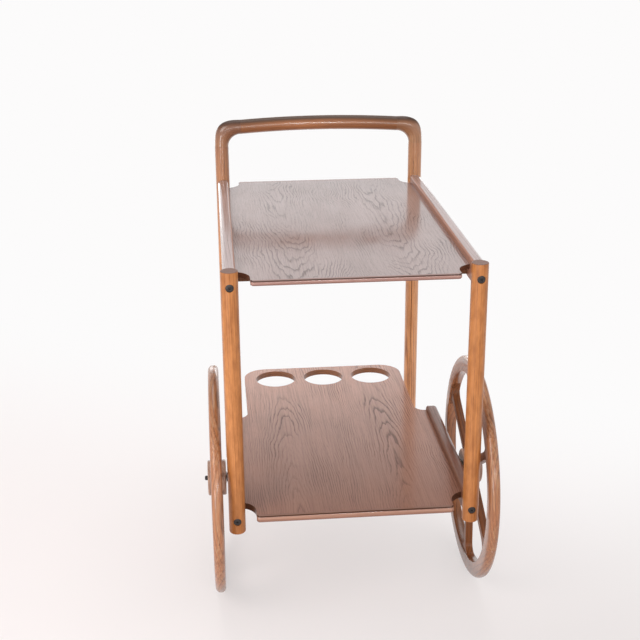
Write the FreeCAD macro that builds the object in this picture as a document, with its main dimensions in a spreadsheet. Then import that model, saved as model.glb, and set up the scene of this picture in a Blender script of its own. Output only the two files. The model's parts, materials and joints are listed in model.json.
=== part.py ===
"""Serving cart: a two-tray wooden cart on two large spoked wheels and two legs.

Frame: millimetres, X to the cart's right as seen from the wheel end, Y towards the
handle, Z up. The origin is on the floor under the middle of the cart's outline.
"""
import FreeCAD, Part
import math
import os
import Sketcher

Vector = FreeCAD.Vector
Rotation = FreeCAD.Rotation
Placement = FreeCAD.Placement

# Driving dimensions, in millimetres and degrees.
SIZES = {
    # Frame
    "post_spread": 430.0,
    "post_to_leg": 682.0,
    "post_diameter": 30.0,
    "post_below_rail": 11.0,
    "frame_top_height": 690.0,
    "leg_over_rail": 73.0,
    "post_top_round": 1.0,
    "post_foot_round": 3.0,
    # Handle
    "grip_diameter": 31.0,
    "grip_crown": 6.0,
    "corner_radius": 34.0,
    "corner_reach": 43.0,
    "corner_leg_length": 7.3,
    # Side rails
    "rail_thickness": 22.0,
    "rail_height": 42.0,
    "rail_outer_round": 8.0,
    "rail_inner_round": 4.0,
    "rail_under_round": 4.0,
    "rail_over_axle": 26.5,
    "lower_rail_length": 414.0,
    "lower_rail_nose_radius": 18.0,
    # Trays
    "tray_recess": 13.0,
    "upper_tray_thickness": 9.0,
    "lower_tray_thickness": 12.5,
    "tray_overhang": 24.0,
    "tray_groove": 5.0,
    "tray_shoulder": 2.0,
    "notch_radius": 35.0,
    "lip_width": 8.0,
    "lip_round": 3.5,
    "lip_corner_radius": 6.0,
    "lower_tray_inset": 6.0,
    "shoulder_before_nose": 7.0,
    "shoulder_radius": 22.0,
    "extension_inset": 23.0,
    "extension_corner_radius": 48.0,
    "bottle_hole_diameter": 90.0,
    "bottle_hole_inset": 61.0,
    # Cleats under the trays
    "cleat_width": 30.0,
    "cleat_height": 14.0,
    "upper_cleat_setback": 65.0,
    "lower_front_cleat_setback": 105.0,
    "rear_cleat_before_nose": 84.0,
    "screw_diameter": 4.0,
    "screw_head_diameter": 8.0,
    "screw_bite": 6.0,
    "screw_pitch": 150.0,
    # Joinery
    "bolt_rise": 15.0,
    "bolt_diameter": 6.0,
    "bolt_head_diameter": 13.5,
    "bolt_head_height": 4.0,
    "bolt_head_recess": 1.0,
    "bolt_recess_clearance": 0.5,
    "bolt_clearance": 0.25,
    "bolt_reach": 27.0,
    "bolt_tail": 8.0,
    "hex_key_size": 5.0,
    "hex_key_depth": 2.5,
    "barrel_nut_diameter": 10.0,
    "barrel_nut_length": 20.0,
    "rail_dowel_diameter": 8.0,
    "rail_dowel_rise": 19.0,
    "rail_dowel_in_post": 10.0,
    "rail_dowel_in_rail": 20.0,
    "handle_dowel_diameter": 10.0,
    "handle_dowel_depth": 20.0,
    "cleat_dowel_diameter": 6.0,
    "cleat_dowel_depth": 12.0,
    "cleat_dowel_pitch": 16.0,
    "glide_diameter": 24.0,
    "glide_thickness": 3.0,
    "glide_pin_diameter": 4.0,
    "glide_pin_length": 14.0,
    # Wheels
    "wheel_diameter": 437.0,
    "axle_setback": 164.0,
    "rim_width": 31.5,
    "rim_thickness": 20.0,
    "rim_outer_round": 9.5,
    "rim_inner_round": 2.5,
    "spoke_width": 15.0,
    "spoke_thickness": 14.0,
    "spoke_flare_radius": 22.0,
    "spoke_edge_round": 2.5,
    "spoke_angle": 27.0,
    "joint_lead_angle": 7.0,
    "tenon_diameter": 8.0,
    "tenon_length": 12.0,
    "hub_diameter": 68.0,
    "hub_length": 35.4,
    "hub_edge_round": 3.0,
    "hub_core_diameter": 32.0,
    # Axles
    "axle_diameter": 10.0,
    "axle_fit": 0.05,
    "bush_wall": 2.0,
    "collar_flats": 17.0,
    "collar_length": 5.0,
    "thrust_washer_thickness": 1.0,
    "thrust_washer_diameter": 22.0,
    "running_gap": 0.3,
    "cap_recess_diameter": 20.0,
    "cap_recess_depth": 3.0,
    "cap_flange_diameter": 18.0,
    "cap_flange_thickness": 2.0,
    "cap_diameter": 9.0,
    "cap_reach": 6.5,
    "cap_chamfer": 1.5,
    "cap_thread_diameter": 6.0,
    "insert_diameter": 14.0,
    "insert_length": 15.0,
    # Cuts that pass right through run this far past the surface
    "overrun": 5.0,
}

# Two places closer than this share of their size count as one
TOUCH_SHARE = 1e-4
# Share of the spare width beside three bottle holes that lies between two of them
BOTTLE_GAP_SHARE = 10 / 23
# Counts
SPOKES = 6
SCREWS_PER_CLEAT = 3
# Stations of the bent corner as shares of its turn, leg end first
CORNER_STATION_SHARES = (0.25, 0.5, 0.75)
# How far the corner swells past the rod on its outer side at each station
CORNER_SWELL_SHARES = (0.1, 0.3, 0.2)

DOC = FreeCAD.newDocument("ServingCart")
NODES = []


class Size:
    """A length or angle that knows its number and the sheet expression behind it."""

    def __init__(self, value, text):
        self.value = value
        self.text = text

    def __add__(self, other):
        return Size(self.value + other.value, f"({self.text} + {other.text})")

    def __sub__(self, other):
        return Size(self.value - other.value, f"({self.text} - {other.text})")

    def __neg__(self):
        return Size(-self.value, f"(-{self.text})")

    def __mul__(self, factor):
        return Size(self.value * factor, f"({self.text} * {factor!r})")

    def __truediv__(self, divisor):
        return Size(self.value / divisor, f"({self.text} / {divisor!r})")


ZERO = Size(0.0, "0")


def leg_of(long_side, short_side):
    """The third side of a right triangle from its longest side and one other."""
    value = math.sqrt(long_side.value ** 2 - short_side.value ** 2)
    text = f"sqrt({long_side.text} * {long_side.text} - {short_side.text} * {short_side.text})"
    return Size(value, text)


def scaled_by(size, top, bottom):
    """A size multiplied by the ratio of two others."""
    value = size.value * top.value / bottom.value
    return Size(value, f"({size.text} * {top.text} / {bottom.text})")


def make_sheet():
    """Put the driving dimensions in a spreadsheet and return them as sizes."""
    sheet = DOC.addObject("Spreadsheet::Sheet", "Sizes")
    sizes = {}
    for row, (name, value) in enumerate(SIZES.items(), start=1):
        sheet.set(f"A{row}", name)
        sheet.set(f"B{row}", str(value))
        sheet.setAlias(f"B{row}", name)
        sizes[name] = Size(value, f"Sizes.{name}")
    DOC.recompute()
    return sizes


S = make_sheet()

# Places worked out from the driving dimensions
HALF_SPREAD = S["post_spread"] / 2
POST_RADIUS = S["post_diameter"] / 2
WHEEL_RADIUS = S["wheel_diameter"] / 2
CART_REACH = S["post_to_leg"] + S["tray_overhang"]
POST_Y = (WHEEL_RADIUS - S["axle_setback"] - CART_REACH) / 2
LEG_Y = POST_Y + S["post_to_leg"]
AXLE_Y = POST_Y + S["axle_setback"]
LOWER_RAIL_TOP = WHEEL_RADIUS + S["rail_over_axle"]
LOWER_RAIL_BOTTOM = LOWER_RAIL_TOP - S["rail_height"]
UPPER_RAIL_BOTTOM = S["frame_top_height"] - S["rail_height"]
POST_BOTTOM = LOWER_RAIL_BOTTOM - S["post_below_rail"]
RAIL_INNER = HALF_SPREAD - S["rail_thickness"] / 2
RAIL_OUTER = HALF_SPREAD + S["rail_thickness"] / 2
UPPER_TRAY_TOP = S["frame_top_height"] - S["tray_recess"]
LOWER_TRAY_TOP = LOWER_RAIL_TOP - S["tray_recess"]
LOWER_TRAY_REAR = S["post_to_leg"] - S["lower_tray_inset"]
SHOULDER_Y = S["lower_rail_length"] - S["shoulder_before_nose"]
WAIST_X = RAIL_INNER - S["extension_inset"]
BOTTLE_SPARE = WAIST_X - S["bottle_hole_diameter"] * 1.5
BOTTLE_PITCH = S["bottle_hole_diameter"] + BOTTLE_SPARE * BOTTLE_GAP_SHARE
BOTTLE_Y = LOWER_TRAY_REAR - S["bottle_hole_inset"]
LOWER_REAR_CLEAT = S["lower_rail_length"] - S["rear_cleat_before_nose"]
UPPER_BOLT_Z = UPPER_RAIL_BOTTOM + S["bolt_rise"]
LOWER_BOLT_Z = LOWER_RAIL_BOTTOM + S["bolt_rise"]
UPPER_DOWEL_Z = UPPER_BOLT_Z + S["rail_dowel_rise"]
LOWER_DOWEL_Z = LOWER_BOLT_Z + S["rail_dowel_rise"]
GROOVE_DEPTH_X = RAIL_INNER + S["tray_groove"]
NOTCH_X = HALF_SPREAD - S["notch_radius"]
NOTCH_END = leg_of(S["notch_radius"], HALF_SPREAD - GROOVE_DEPTH_X)
GROOVE_START = leg_of(S["notch_radius"], HALF_SPREAD - RAIL_INNER)
RIM_INNER = WHEEL_RADIUS - S["rim_width"]
HUB_RADIUS = S["hub_diameter"] / 2
CORE_RADIUS = S["hub_core_diameter"] / 2
DISC_THICKNESS = (S["hub_length"] - S["spoke_thickness"]) / 2
BUSH_INNER = S["axle_diameter"] / 2 + S["axle_fit"]
BUSH_OUTER = BUSH_INNER + S["bush_wall"]
COLLAR_END_X = RAIL_OUTER + S["collar_length"]
HUB_INNER_X = COLLAR_END_X + S["thrust_washer_thickness"] + S["running_gap"]
HUB_OUTER_X = HUB_INNER_X + S["hub_length"]
WHEEL_X = HUB_INNER_X + S["hub_length"] / 2
RECESS_FLOOR_X = HUB_OUTER_X - S["cap_recess_depth"]
GRIP_RADIUS = S["grip_diameter"] / 2
LEG_JOINT = S["frame_top_height"] + S["leg_over_rail"]
GRIP_HALF = HALF_SPREAD - S["corner_reach"]
# The grip is an arc of this radius; its ends lie lower than its middle by the crown
GRIP_ARC = scaled_by(GRIP_HALF, GRIP_HALF, S["grip_crown"]) / 2 + S["grip_crown"] / 2
GRIP_ARC_LOW = GRIP_ARC - S["grip_crown"]
# Between the bend and the grip the corner runs straight, in line with the grip's end
CORNER_SLACK = S["corner_reach"] - S["corner_radius"]
STRAIGHT_X = CORNER_SLACK + scaled_by(S["corner_radius"], GRIP_HALF, GRIP_ARC)
STRAIGHT_RISE = scaled_by(STRAIGHT_X, GRIP_HALF, GRIP_ARC_LOW)
BEND_FOOT = LEG_JOINT + S["corner_leg_length"]
BEND_HEAD = BEND_FOOT + scaled_by(S["corner_radius"], GRIP_ARC_LOW, GRIP_ARC)
GRIP_END_Z = BEND_HEAD + STRAIGHT_RISE
HANDLE_TOP = GRIP_END_Z + S["grip_crown"] + GRIP_RADIUS
HEX_CORNER_RATIO = 1 / math.sqrt(3)

PLANE_NORMAL_SIGN = {"XY_Plane": 1, "XZ_Plane": -1, "YZ_Plane": 1}


def bind(target, name, size):
    """Tie one property of an object to the sheet."""
    target.setExpression(name, size.text)


def place(target, x=ZERO, y=ZERO, z=ZERO, axis=None, angle=0):
    """Give an object its place, tied to the sheet, and its turn about an axis."""
    if axis is not None:
        target.Placement = Placement(Vector(), Rotation(axis, angle))
    for name, size in (("x", x), ("y", y), ("z", z)):
        if size is not ZERO:
            bind(target, f"Placement.Base.{name}", size)


def new_body(label):
    """A body with the given label."""
    body = DOC.addObject("PartDesign::Body", label)
    body.Label = label
    return body


def new_sketch(body, role, name, start=ZERO):
    """A sketch on one of the body's own planes, moved along that world axis to start."""
    sketch = body.newObject("Sketcher::SketchObject", name)
    plane = [item for item in body.Origin.OriginFeatures if item.Role == role][0]
    sketch.AttachmentSupport = (plane, [""])
    sketch.MapMode = "FlatFace"
    if start is not ZERO:
        along = start if PLANE_NORMAL_SIGN[role] > 0 else -start
        bind(sketch, "AttachmentOffset.Base.z", along)
    return sketch


def fix_point(sketch, curve, position, point, tag):
    """Hold one point of a sketch curve at two sizes measured from the origin."""
    for kind, size in (("DistanceX", point[0]), ("DistanceY", point[1])):
        name = f"{kind}_{tag}"
        constraint = Sketcher.Constraint(kind, -1, 1, curve, position, size.value)
        sketch.addConstraint(constraint)
        sketch.renameConstraint(sketch.ConstraintCount - 1, name)
        bind(sketch, f"Constraints.{name}", size)


def fix_radius(sketch, curve, radius, tag):
    """Hold the radius of a circle or arc in a sketch."""
    name = f"Radius_{tag}"
    sketch.addConstraint(Sketcher.Constraint("Radius", curve, radius.value))
    sketch.renameConstraint(sketch.ConstraintCount - 1, name)
    bind(sketch, f"Constraints.{name}", radius)


def draw_circle(sketch, centre, radius, tag="0"):
    """A circle held by its centre and radius."""
    middle = Vector(centre[0].value, centre[1].value, 0)
    curve = sketch.addGeometry(Part.Circle(middle, Vector(0, 0, 1), radius.value), False)
    fix_point(sketch, curve, 3, centre, tag)
    fix_radius(sketch, curve, radius, tag)


def arc_between(start, end, radius, side):
    """The short arc from start to end; side 1 has its centre to the left of the way."""
    chord = end - start
    middle = (start + end) * 0.5
    rise = math.sqrt(max(radius ** 2 - (chord.Length / 2) ** 2, 0))
    left = Vector(-chord.y, chord.x, 0).normalize()
    centre = middle + left * rise * side
    outward = middle - centre
    if outward.Length < radius * TOUCH_SHARE:
        outward = left * -side
    on_arc = centre + outward.normalize() * radius
    return Part.Arc(start, on_arc, end)


def draw_outline(sketch, points, arcs=None, tag="p"):
    """A closed outline through points; arcs maps a point's index to (radius, side)."""
    arcs = arcs or {}
    flat = [Vector(x.value, y.value, 0) for x, y in points]
    total = len(points)
    curves = []
    for index in range(total):
        start = flat[index]
        end = flat[(index + 1) % total]
        if index in arcs:
            radius, side = arcs[index]
            shape = arc_between(start, end, radius.value, side)
        else:
            shape = Part.LineSegment(start, end)
        curves.append(sketch.addGeometry(shape, False))
    ends = []
    for index in range(total):
        # An arc drawn clockwise keeps its curve's own direction, so its ends swap
        backwards = index in arcs and arcs[index][1] < 0
        ends.append((2, 1) if backwards else (1, 2))
    for index in range(total):
        following = (index + 1) % total
        join = (curves[index], ends[index][1], curves[following], ends[following][0])
        sketch.addConstraint(Sketcher.Constraint("Coincident", *join))
    for index, point in enumerate(points):
        fix_point(sketch, curves[index], ends[index][0], point, f"{tag}{index}")
    for index, (radius, _) in arcs.items():
        fix_radius(sketch, curves[index], radius, f"{tag}{index}")


def pad(body, sketch, name, length, direction=1, midplane=False):
    """Pad a sketch along its world axis (direction 1 or -1) or to both sides."""
    feature = body.newObject("PartDesign::Pad", name)
    feature.Profile = sketch
    bind(feature, "Length", length)
    role = sketch.AttachmentSupport[0][0].Role
    if midplane:
        feature.Midplane = True
    else:
        feature.Reversed = direction != PLANE_NORMAL_SIGN[role]
    sketch.Visibility = False
    DOC.recompute()
    return feature


def pocket(body, sketch, name, length, direction=1):
    """Cut a sketch along its world axis, and make sure that material went."""
    before = body.Shape.Volume
    feature = body.newObject("PartDesign::Pocket", name)
    feature.Profile = sketch
    bind(feature, "Length", length)
    role = sketch.AttachmentSupport[0][0].Role
    feature.Reversed = direction == PLANE_NORMAL_SIGN[role]
    sketch.Visibility = False
    DOC.recompute()
    if not feature.Shape.Volume < before:
        raise ValueError(f"{body.Label}: {name} cuts nothing")
    return feature


def bore(body, role, centre, radius, start, depth, name, direction=1):
    """A round hole from start, depth deep, along the axis that the plane faces."""
    sketch = new_sketch(body, role, f"{name}_sketch", start)
    draw_circle(sketch, centre, radius)
    return pocket(body, sketch, name, depth, direction)


def round_edges(body, name, radius, wanted):
    """Fillet the edges of the body's shape that the wanted function picks."""
    base = body.Tip
    names = []
    for index, edge in enumerate(base.Shape.Edges, start=1):
        if wanted(edge):
            names.append(f"Edge{index}")
    feature = body.newObject("PartDesign::Fillet", name)
    feature.Base = (base, names)
    bind(feature, "Radius", radius)
    DOC.recompute()
    return feature


def near(first, second):
    """True where two numbers are the same place."""
    return abs(first - second) < TOUCH_SHARE * max(1, abs(first), abs(second))


def lies_at(edge, axis, value):
    """True where the whole edge lies in one plane across an axis."""
    box = edge.BoundBox
    low = getattr(box, f"{axis}Min")
    high = getattr(box, f"{axis}Max")
    return near(low, value) and near(high, value)


def keep(target):
    """Note a finished sub-part, which becomes a node under its label."""
    NODES.append(target)
    return target


def mirrored(source, label):
    """The same piece for the cart's left side."""
    twin = DOC.addObject("Part::Mirroring", label)
    twin.Label = label
    twin.Source = source
    twin.Normal = Vector(1, 0, 0)
    return keep(twin)


def both_sides(source, stem):
    """Keep a right-hand piece and its left-hand twin."""
    keep(source)
    mirrored(source, f"{stem}_left")


def grouped(label, members):
    """Separate solids of one kind under one label."""
    group = DOC.addObject("Part::Compound", label)
    group.Label = label
    group.Links = members
    return keep(group)


def rod(name, radius, length, x=ZERO, y=ZERO, z=ZERO, axis=None, angle=0):
    """A plain cylinder along Z, or turned about an axis."""
    cylinder = DOC.addObject("Part::Cylinder", name)
    bind(cylinder, "Radius", radius)
    bind(cylinder, "Height", length)
    place(cylinder, x, y, z, axis, angle)
    return cylinder


def along_x(name, radius, length, x, y, z):
    """A cylinder that starts at a place and runs towards +X."""
    return rod(name, radius, length, x, y, z, Vector(0, 1, 0), 90)


def along_y(name, radius, length, x, y, z):
    """A cylinder that starts at a place and runs towards +Y."""
    return rod(name, radius, length, x, y, z, Vector(1, 0, 0), -90)


def fused(name, members):
    """One solid from several."""
    union = DOC.addObject("Part::MultiFuse", name)
    union.Shapes = members
    return union


def cut(name, base, tools):
    """A solid less its tools."""
    tool = tools[0] if len(tools) == 1 else fused(f"{name}_tools", tools)
    result = DOC.addObject("Part::Cut", name)
    result.Base = base
    result.Tool = tool
    result.Label = name
    return result


def bolt_holes(body, levels, direction):
    """Bolt holes with head recesses through an upright at the given levels.

    direction is the way the bolts travel: 1 from the front, -1 from the back.
    """
    shank = S["bolt_diameter"] / 2 + S["bolt_clearance"]
    head = S["bolt_head_diameter"] / 2 + S["bolt_recess_clearance"]
    sink = S["bolt_head_height"] + S["bolt_head_recess"]
    outside = POST_RADIUS + S["overrun"]
    for index, level in enumerate(levels):
        start = -outside if direction > 0 else outside
        through = outside + outside
        bore(body, "XZ_Plane", (ZERO, level), shank, start, through, f"bolt_hole{index}", direction)
        depth = S["overrun"] + sink
        bore(body, "XZ_Plane", (ZERO, level), head, start, depth, f"head_recess{index}", direction)


def dowel_hole_in_upright(body, level, name, direction):
    """A blind dowel hole from the upright's rail side; direction is inwards."""
    edge = POST_RADIUS + S["overrun"]
    start = edge if direction < 0 else -edge
    depth = S["overrun"] + S["rail_dowel_in_post"]
    radius = S["rail_dowel_diameter"] / 2
    bore(body, "XZ_Plane", (ZERO, level), radius, start, depth, name, direction)


def front_posts():
    """Turned front posts, rounded at the foot, drilled for two bolts and two dowels."""
    body = new_body("front_post_right")
    height = S["frame_top_height"] - POST_BOTTOM
    sketch = new_sketch(body, "XY_Plane", "post_circle")
    draw_circle(sketch, (ZERO, ZERO), POST_RADIUS)
    pad(body, sketch, "post_length", height)
    round_edges(body, "post_top", S["post_top_round"], lambda e: lies_at(e, "Z", height.value))
    round_edges(body, "post_foot", S["post_foot_round"], lambda e: lies_at(e, "Z", 0))
    levels = [UPPER_BOLT_Z - POST_BOTTOM, LOWER_BOLT_Z - POST_BOTTOM]
    bolt_holes(body, levels, 1)
    for index, level in enumerate((UPPER_DOWEL_Z, LOWER_DOWEL_Z)):
        dowel_hole_in_upright(body, level - POST_BOTTOM, f"dowel_hole{index}", -1)
    place(body, HALF_SPREAD, POST_Y, POST_BOTTOM)
    both_sides(body, "front_post")


def rear_legs():
    """Rear legs from the glides up to the handle corners."""
    body = new_body("rear_leg_right")
    length = LEG_JOINT - S["glide_thickness"]
    sketch = new_sketch(body, "XY_Plane", "leg_circle")
    draw_circle(sketch, (ZERO, ZERO), POST_RADIUS)
    pad(body, sketch, "leg_length", length)
    round_edges(body, "leg_foot", S["post_foot_round"], lambda e: lies_at(e, "Z", 0))
    bolt_holes(body, [UPPER_BOLT_Z - S["glide_thickness"]], -1)
    dowel_hole_in_upright(body, UPPER_DOWEL_Z - S["glide_thickness"], "dowel_hole", 1)
    handle_dowel = S["handle_dowel_diameter"] / 2
    bore(body, "XY_Plane", (ZERO, ZERO), handle_dowel, length, S["handle_dowel_depth"], "top_hole", -1)
    pin = S["glide_pin_diameter"] / 2
    bore(body, "XY_Plane", (ZERO, ZERO), pin, ZERO, S["glide_pin_length"], "glide_hole", 1)
    place(body, HALF_SPREAD, LEG_Y, S["glide_thickness"])
    both_sides(body, "rear_leg")


def leg_glides():
    """Plastic glides pinned under the rear legs."""
    members = []
    for side, x in (("right", HALF_SPREAD), ("left", -HALF_SPREAD)):
        disc = rod(f"glide_disc_{side}", S["glide_diameter"] / 2, S["glide_thickness"], x, LEG_Y)
        length = S["glide_thickness"] + S["glide_pin_length"]
        pin = rod(f"glide_pin_{side}", S["glide_pin_diameter"] / 2, length, x, LEG_Y)
        members.append(fused(f"glide_{side}", [disc, pin]))
    grouped("leg_glides", members)


class HandleLine:
    """Lines of the handle in its own plane: the grip's end and both sides of the bend."""

    def __init__(self):
        self.tilt = math.asin(GRIP_HALF.value / GRIP_ARC.value)
        self.full_turn = math.pi / 2 - self.tilt
        self.foot = Vector(HALF_SPREAD.value, LEG_Y.value, LEG_JOINT.value)
        self.end = Vector(GRIP_HALF.value, LEG_Y.value, GRIP_END_Z.value)
        self.bend = S["corner_radius"].value
        self.pivot = Vector(self.foot.x - self.bend, LEG_Y.value, BEND_FOOT.value)
        self.inner_centre = Vector(self.end.x, LEG_Y.value, self.foot.z)
        self.inner_reach = (S["corner_reach"] - POST_RADIUS).value
        self.inner_rise = (GRIP_END_Z - GRIP_RADIUS - LEG_JOINT).value

    def rod_radius(self, part_way):
        """The rod's radius, which runs evenly from the leg's to the grip's."""
        return POST_RADIUS.value + (GRIP_RADIUS - POST_RADIUS).value * part_way

    def outer_point(self, part_way, swell_share):
        """A point of the outer side, a round about the pivot that swells past the rod."""
        reach = self.bend + self.rod_radius(part_way) * (1 + swell_share)
        return self.pivot + level_turned(self.full_turn * part_way) * reach

    def inner_point(self, part_way):
        """A point of the inner side, a quarter ellipse from the leg's top to the grip's end."""
        ray = level_turned(math.pi / 2 * part_way)
        return self.inner_centre + Vector(ray.x * self.inner_reach, 0, ray.z * self.inner_rise)


def level_turned(angle):
    """The outward direction after it has turned up from level by an angle."""
    return Vector(math.cos(angle), 0, math.sin(angle))


def handle_section(centre, outward, across, deep):
    """One section of the bent corner: a circle, or an ellipse that is wider outward."""
    along = Vector(-outward.z, 0, outward.x)
    if across > deep:
        ring = Part.Ellipse(Vector(), across, deep)
    else:
        ring = Part.Circle(Vector(), Vector(0, 0, 1), deep)
    wire = Part.Wire([ring.toShape()])
    turn = FreeCAD.Matrix()
    side = along.cross(outward)
    turn.A11, turn.A21, turn.A31 = outward.x, outward.y, outward.z
    turn.A12, turn.A22, turn.A32 = side.x, side.y, side.z
    turn.A13, turn.A23, turn.A33 = along.x, along.y, along.z
    turn.A14, turn.A24, turn.A34 = centre.x, centre.y, centre.z
    wire.transformShape(turn, True)
    return wire


def handle_corners(line):
    """Bent corner pieces that join the legs to the grip, swelling in the bend."""
    leg_radius = line.rod_radius(0)
    grip_radius = line.rod_radius(1)
    sections = [handle_section(line.foot, level_turned(0), leg_radius, leg_radius)]
    for part_way, swell_share in zip(CORNER_STATION_SHARES, CORNER_SWELL_SHARES):
        outer = line.outer_point(part_way, swell_share)
        inner = line.inner_point(part_way)
        across = (outer - inner).Length / 2
        outward = (outer - inner).normalize()
        middle = (outer + inner) / 2
        sections.append(handle_section(middle, outward, across, line.rod_radius(part_way)))
    last_outward = level_turned(line.full_turn)
    sections.append(handle_section(line.end, last_outward, grip_radius, grip_radius))
    solid = Part.makeLoft(sections, True)
    dowel_radius = S["handle_dowel_diameter"].value / 2
    depth = S["handle_dowel_depth"].value
    grip_way = Vector(math.cos(line.tilt), 0, -math.sin(line.tilt))
    leg_hole = Part.makeCylinder(dowel_radius, depth, line.foot, Vector(0, 0, 1))
    grip_hole = Part.makeCylinder(dowel_radius, depth, line.end, grip_way)
    corner = DOC.addObject("Part::Feature", "handle_corner_right")
    corner.Label = "handle_corner_right"
    corner.Shape = solid.cut([leg_hole, grip_hole])
    both_sides(corner, "handle_corner")


def handle_grip(line):
    """The crowned grip bar, a slice of a very large ring."""
    ring = DOC.addObject("Part::Torus", "grip_ring")
    bind(ring, "Radius1", GRIP_ARC)
    bind(ring, "Radius2", GRIP_RADIUS)
    ring.setExpression("Angle3", f"2 * asin({GRIP_HALF.text} / {GRIP_ARC.text})")
    lie_flat = Rotation(Vector(1, 0, 0), 90)
    swing = Rotation(Vector(0, 1, 0), math.degrees(line.tilt) - 90)
    ring.Placement = Placement(Vector(), swing.multiply(lie_flat))
    bind(ring, "Placement.Base.y", LEG_Y)
    bind(ring, "Placement.Base.z", HANDLE_TOP - GRIP_RADIUS - GRIP_ARC)
    return ring


def handle(line):
    """Grip with its dowel holes, the corners, and the dowels between them and the legs."""
    depth = S["handle_dowel_depth"]
    radius = S["handle_dowel_diameter"] / 2
    tilt = math.degrees(line.tilt)
    holes = []
    dowels = []
    for side, sign in (("right", 1), ("left", -1)):
        inward = Size(depth.value * math.cos(line.tilt), f"({depth.text} * {math.cos(line.tilt)!r})")
        rise = Size(depth.value * math.sin(line.tilt), f"({depth.text} * {math.sin(line.tilt)!r})")
        x = (GRIP_HALF - inward) * sign
        turn = 90 + tilt if sign > 0 else 270 - tilt
        spot = (x, LEG_Y, GRIP_END_Z + rise, Vector(0, 1, 0), turn)
        holes.append(rod(f"grip_hole_{side}", radius, depth, *spot))
        dowels.append(rod(f"grip_dowel_{side}", radius, depth + depth, *spot))
        leg_x = HALF_SPREAD * sign
        leg_z = LEG_JOINT - depth
        dowels.append(rod(f"leg_dowel_{side}", radius, depth + depth, leg_x, LEG_Y, leg_z))
    keep(cut("handle_grip", handle_grip(line), holes))
    handle_corners(line)
    grouped("handle_dowels", dowels)


def rail_ends(body, far, name):
    """Scoop a rail's end to seat on its round upright; far is the upright's place."""
    sketch = new_sketch(body, "XY_Plane", f"{name}_sketch")
    draw_circle(sketch, (ZERO, far), POST_RADIUS)
    pocket(body, sketch, name, S["rail_height"] + S["overrun"])


def rail_fittings(body, far, direction, name):
    """Bolt hole, barrel nut hole and dowel hole in one end of a rail."""
    bolt_level = S["bolt_rise"]
    reach = S["bolt_reach"] + S["bolt_tail"] + POST_RADIUS
    radius = S["bolt_diameter"] / 2 + S["bolt_clearance"]
    bore(body, "XZ_Plane", (ZERO, bolt_level), radius, far, reach, f"{name}_bolt", direction)
    shift = S["bolt_reach"] + POST_RADIUS
    nut_y = far + shift if direction > 0 else far - shift
    nut_radius = S["barrel_nut_diameter"] / 2
    nut_depth = bolt_level + S["barrel_nut_length"] / 2
    bore(body, "XY_Plane", (ZERO, nut_y), nut_radius, ZERO, nut_depth, f"{name}_nut", 1)
    dowel_level = bolt_level + S["rail_dowel_rise"]
    depth = POST_RADIUS + S["rail_dowel_in_rail"]
    dowel_radius = S["rail_dowel_diameter"] / 2
    bore(body, "XZ_Plane", (ZERO, dowel_level), dowel_radius, far, depth, f"{name}_dowel", direction)


def rail_groove(body, start, end, tray_thickness):
    """The groove along the rail's inner face that houses the tray's edge."""
    tray_top = S["rail_height"] - S["tray_recess"]
    top = tray_top - S["tray_shoulder"]
    bottom = tray_top - tray_thickness
    sketch = new_sketch(body, "YZ_Plane", "groove_sketch", -(S["rail_thickness"] / 2) + S["tray_groove"])
    draw_outline(sketch, [(start, bottom), (end, bottom), (end, top), (start, top)])
    pocket(body, sketch, "groove", S["tray_groove"] + S["overrun"], -1)


def cleat_holes(body, setbacks, tray_thickness):
    """Dowel holes in the rail's inner face for the ends of the cleats."""
    level = S["rail_height"] - S["tray_recess"] - tray_thickness - S["cleat_height"] / 2
    radius = S["cleat_dowel_diameter"] / 2
    start = -(S["rail_thickness"] / 2) - S["overrun"]
    depth = S["overrun"] + S["cleat_dowel_depth"]
    for index, setback in enumerate(setbacks):
        for step, sign in enumerate((-1, 1)):
            y = setback + S["cleat_dowel_pitch"] * (sign / 2)
            bore(body, "YZ_Plane", (y, level), radius, start, depth, f"cleat_hole{index}{step}", 1)


def round_rail(body):
    """Soften the rail's four long edges, most on the outer top."""
    half = S["rail_thickness"].value / 2
    top = S["rail_height"].value

    def long_edge(edge, x, z):
        return lies_at(edge, "X", x) and lies_at(edge, "Z", z)

    round_edges(body, "outer_round", S["rail_outer_round"], lambda e: long_edge(e, half, top))
    round_edges(body, "inner_round", S["rail_inner_round"], lambda e: long_edge(e, -half, top))
    under = S["rail_under_round"]
    round_edges(body, "under_round", under, lambda e: long_edge(e, half, 0) or long_edge(e, -half, 0))


def upper_rails():
    """Upper side rails, scooped at both ends and grooved for the tray."""
    body = new_body("upper_rail_right")
    sketch = new_sketch(body, "YZ_Plane", "rail_side")
    far = S["post_to_leg"]
    top = S["rail_height"]
    draw_outline(sketch, [(ZERO, ZERO), (far, ZERO), (far, top), (ZERO, top)])
    pad(body, sketch, "rail_block", S["rail_thickness"], midplane=True)
    round_rail(body)
    rail_ends(body, ZERO, "front_seat")
    rail_ends(body, far, "rear_seat")
    thickness = S["upper_tray_thickness"]
    rail_groove(body, GROOVE_START, far - GROOVE_START, thickness)
    rail_fittings(body, ZERO, 1, "front")
    rail_fittings(body, far, -1, "rear")
    cleat_holes(body, [S["upper_cleat_setback"], far - S["upper_cleat_setback"]], thickness)
    place(body, HALF_SPREAD, POST_Y, UPPER_RAIL_BOTTOM)
    both_sides(body, "upper_rail")


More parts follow.
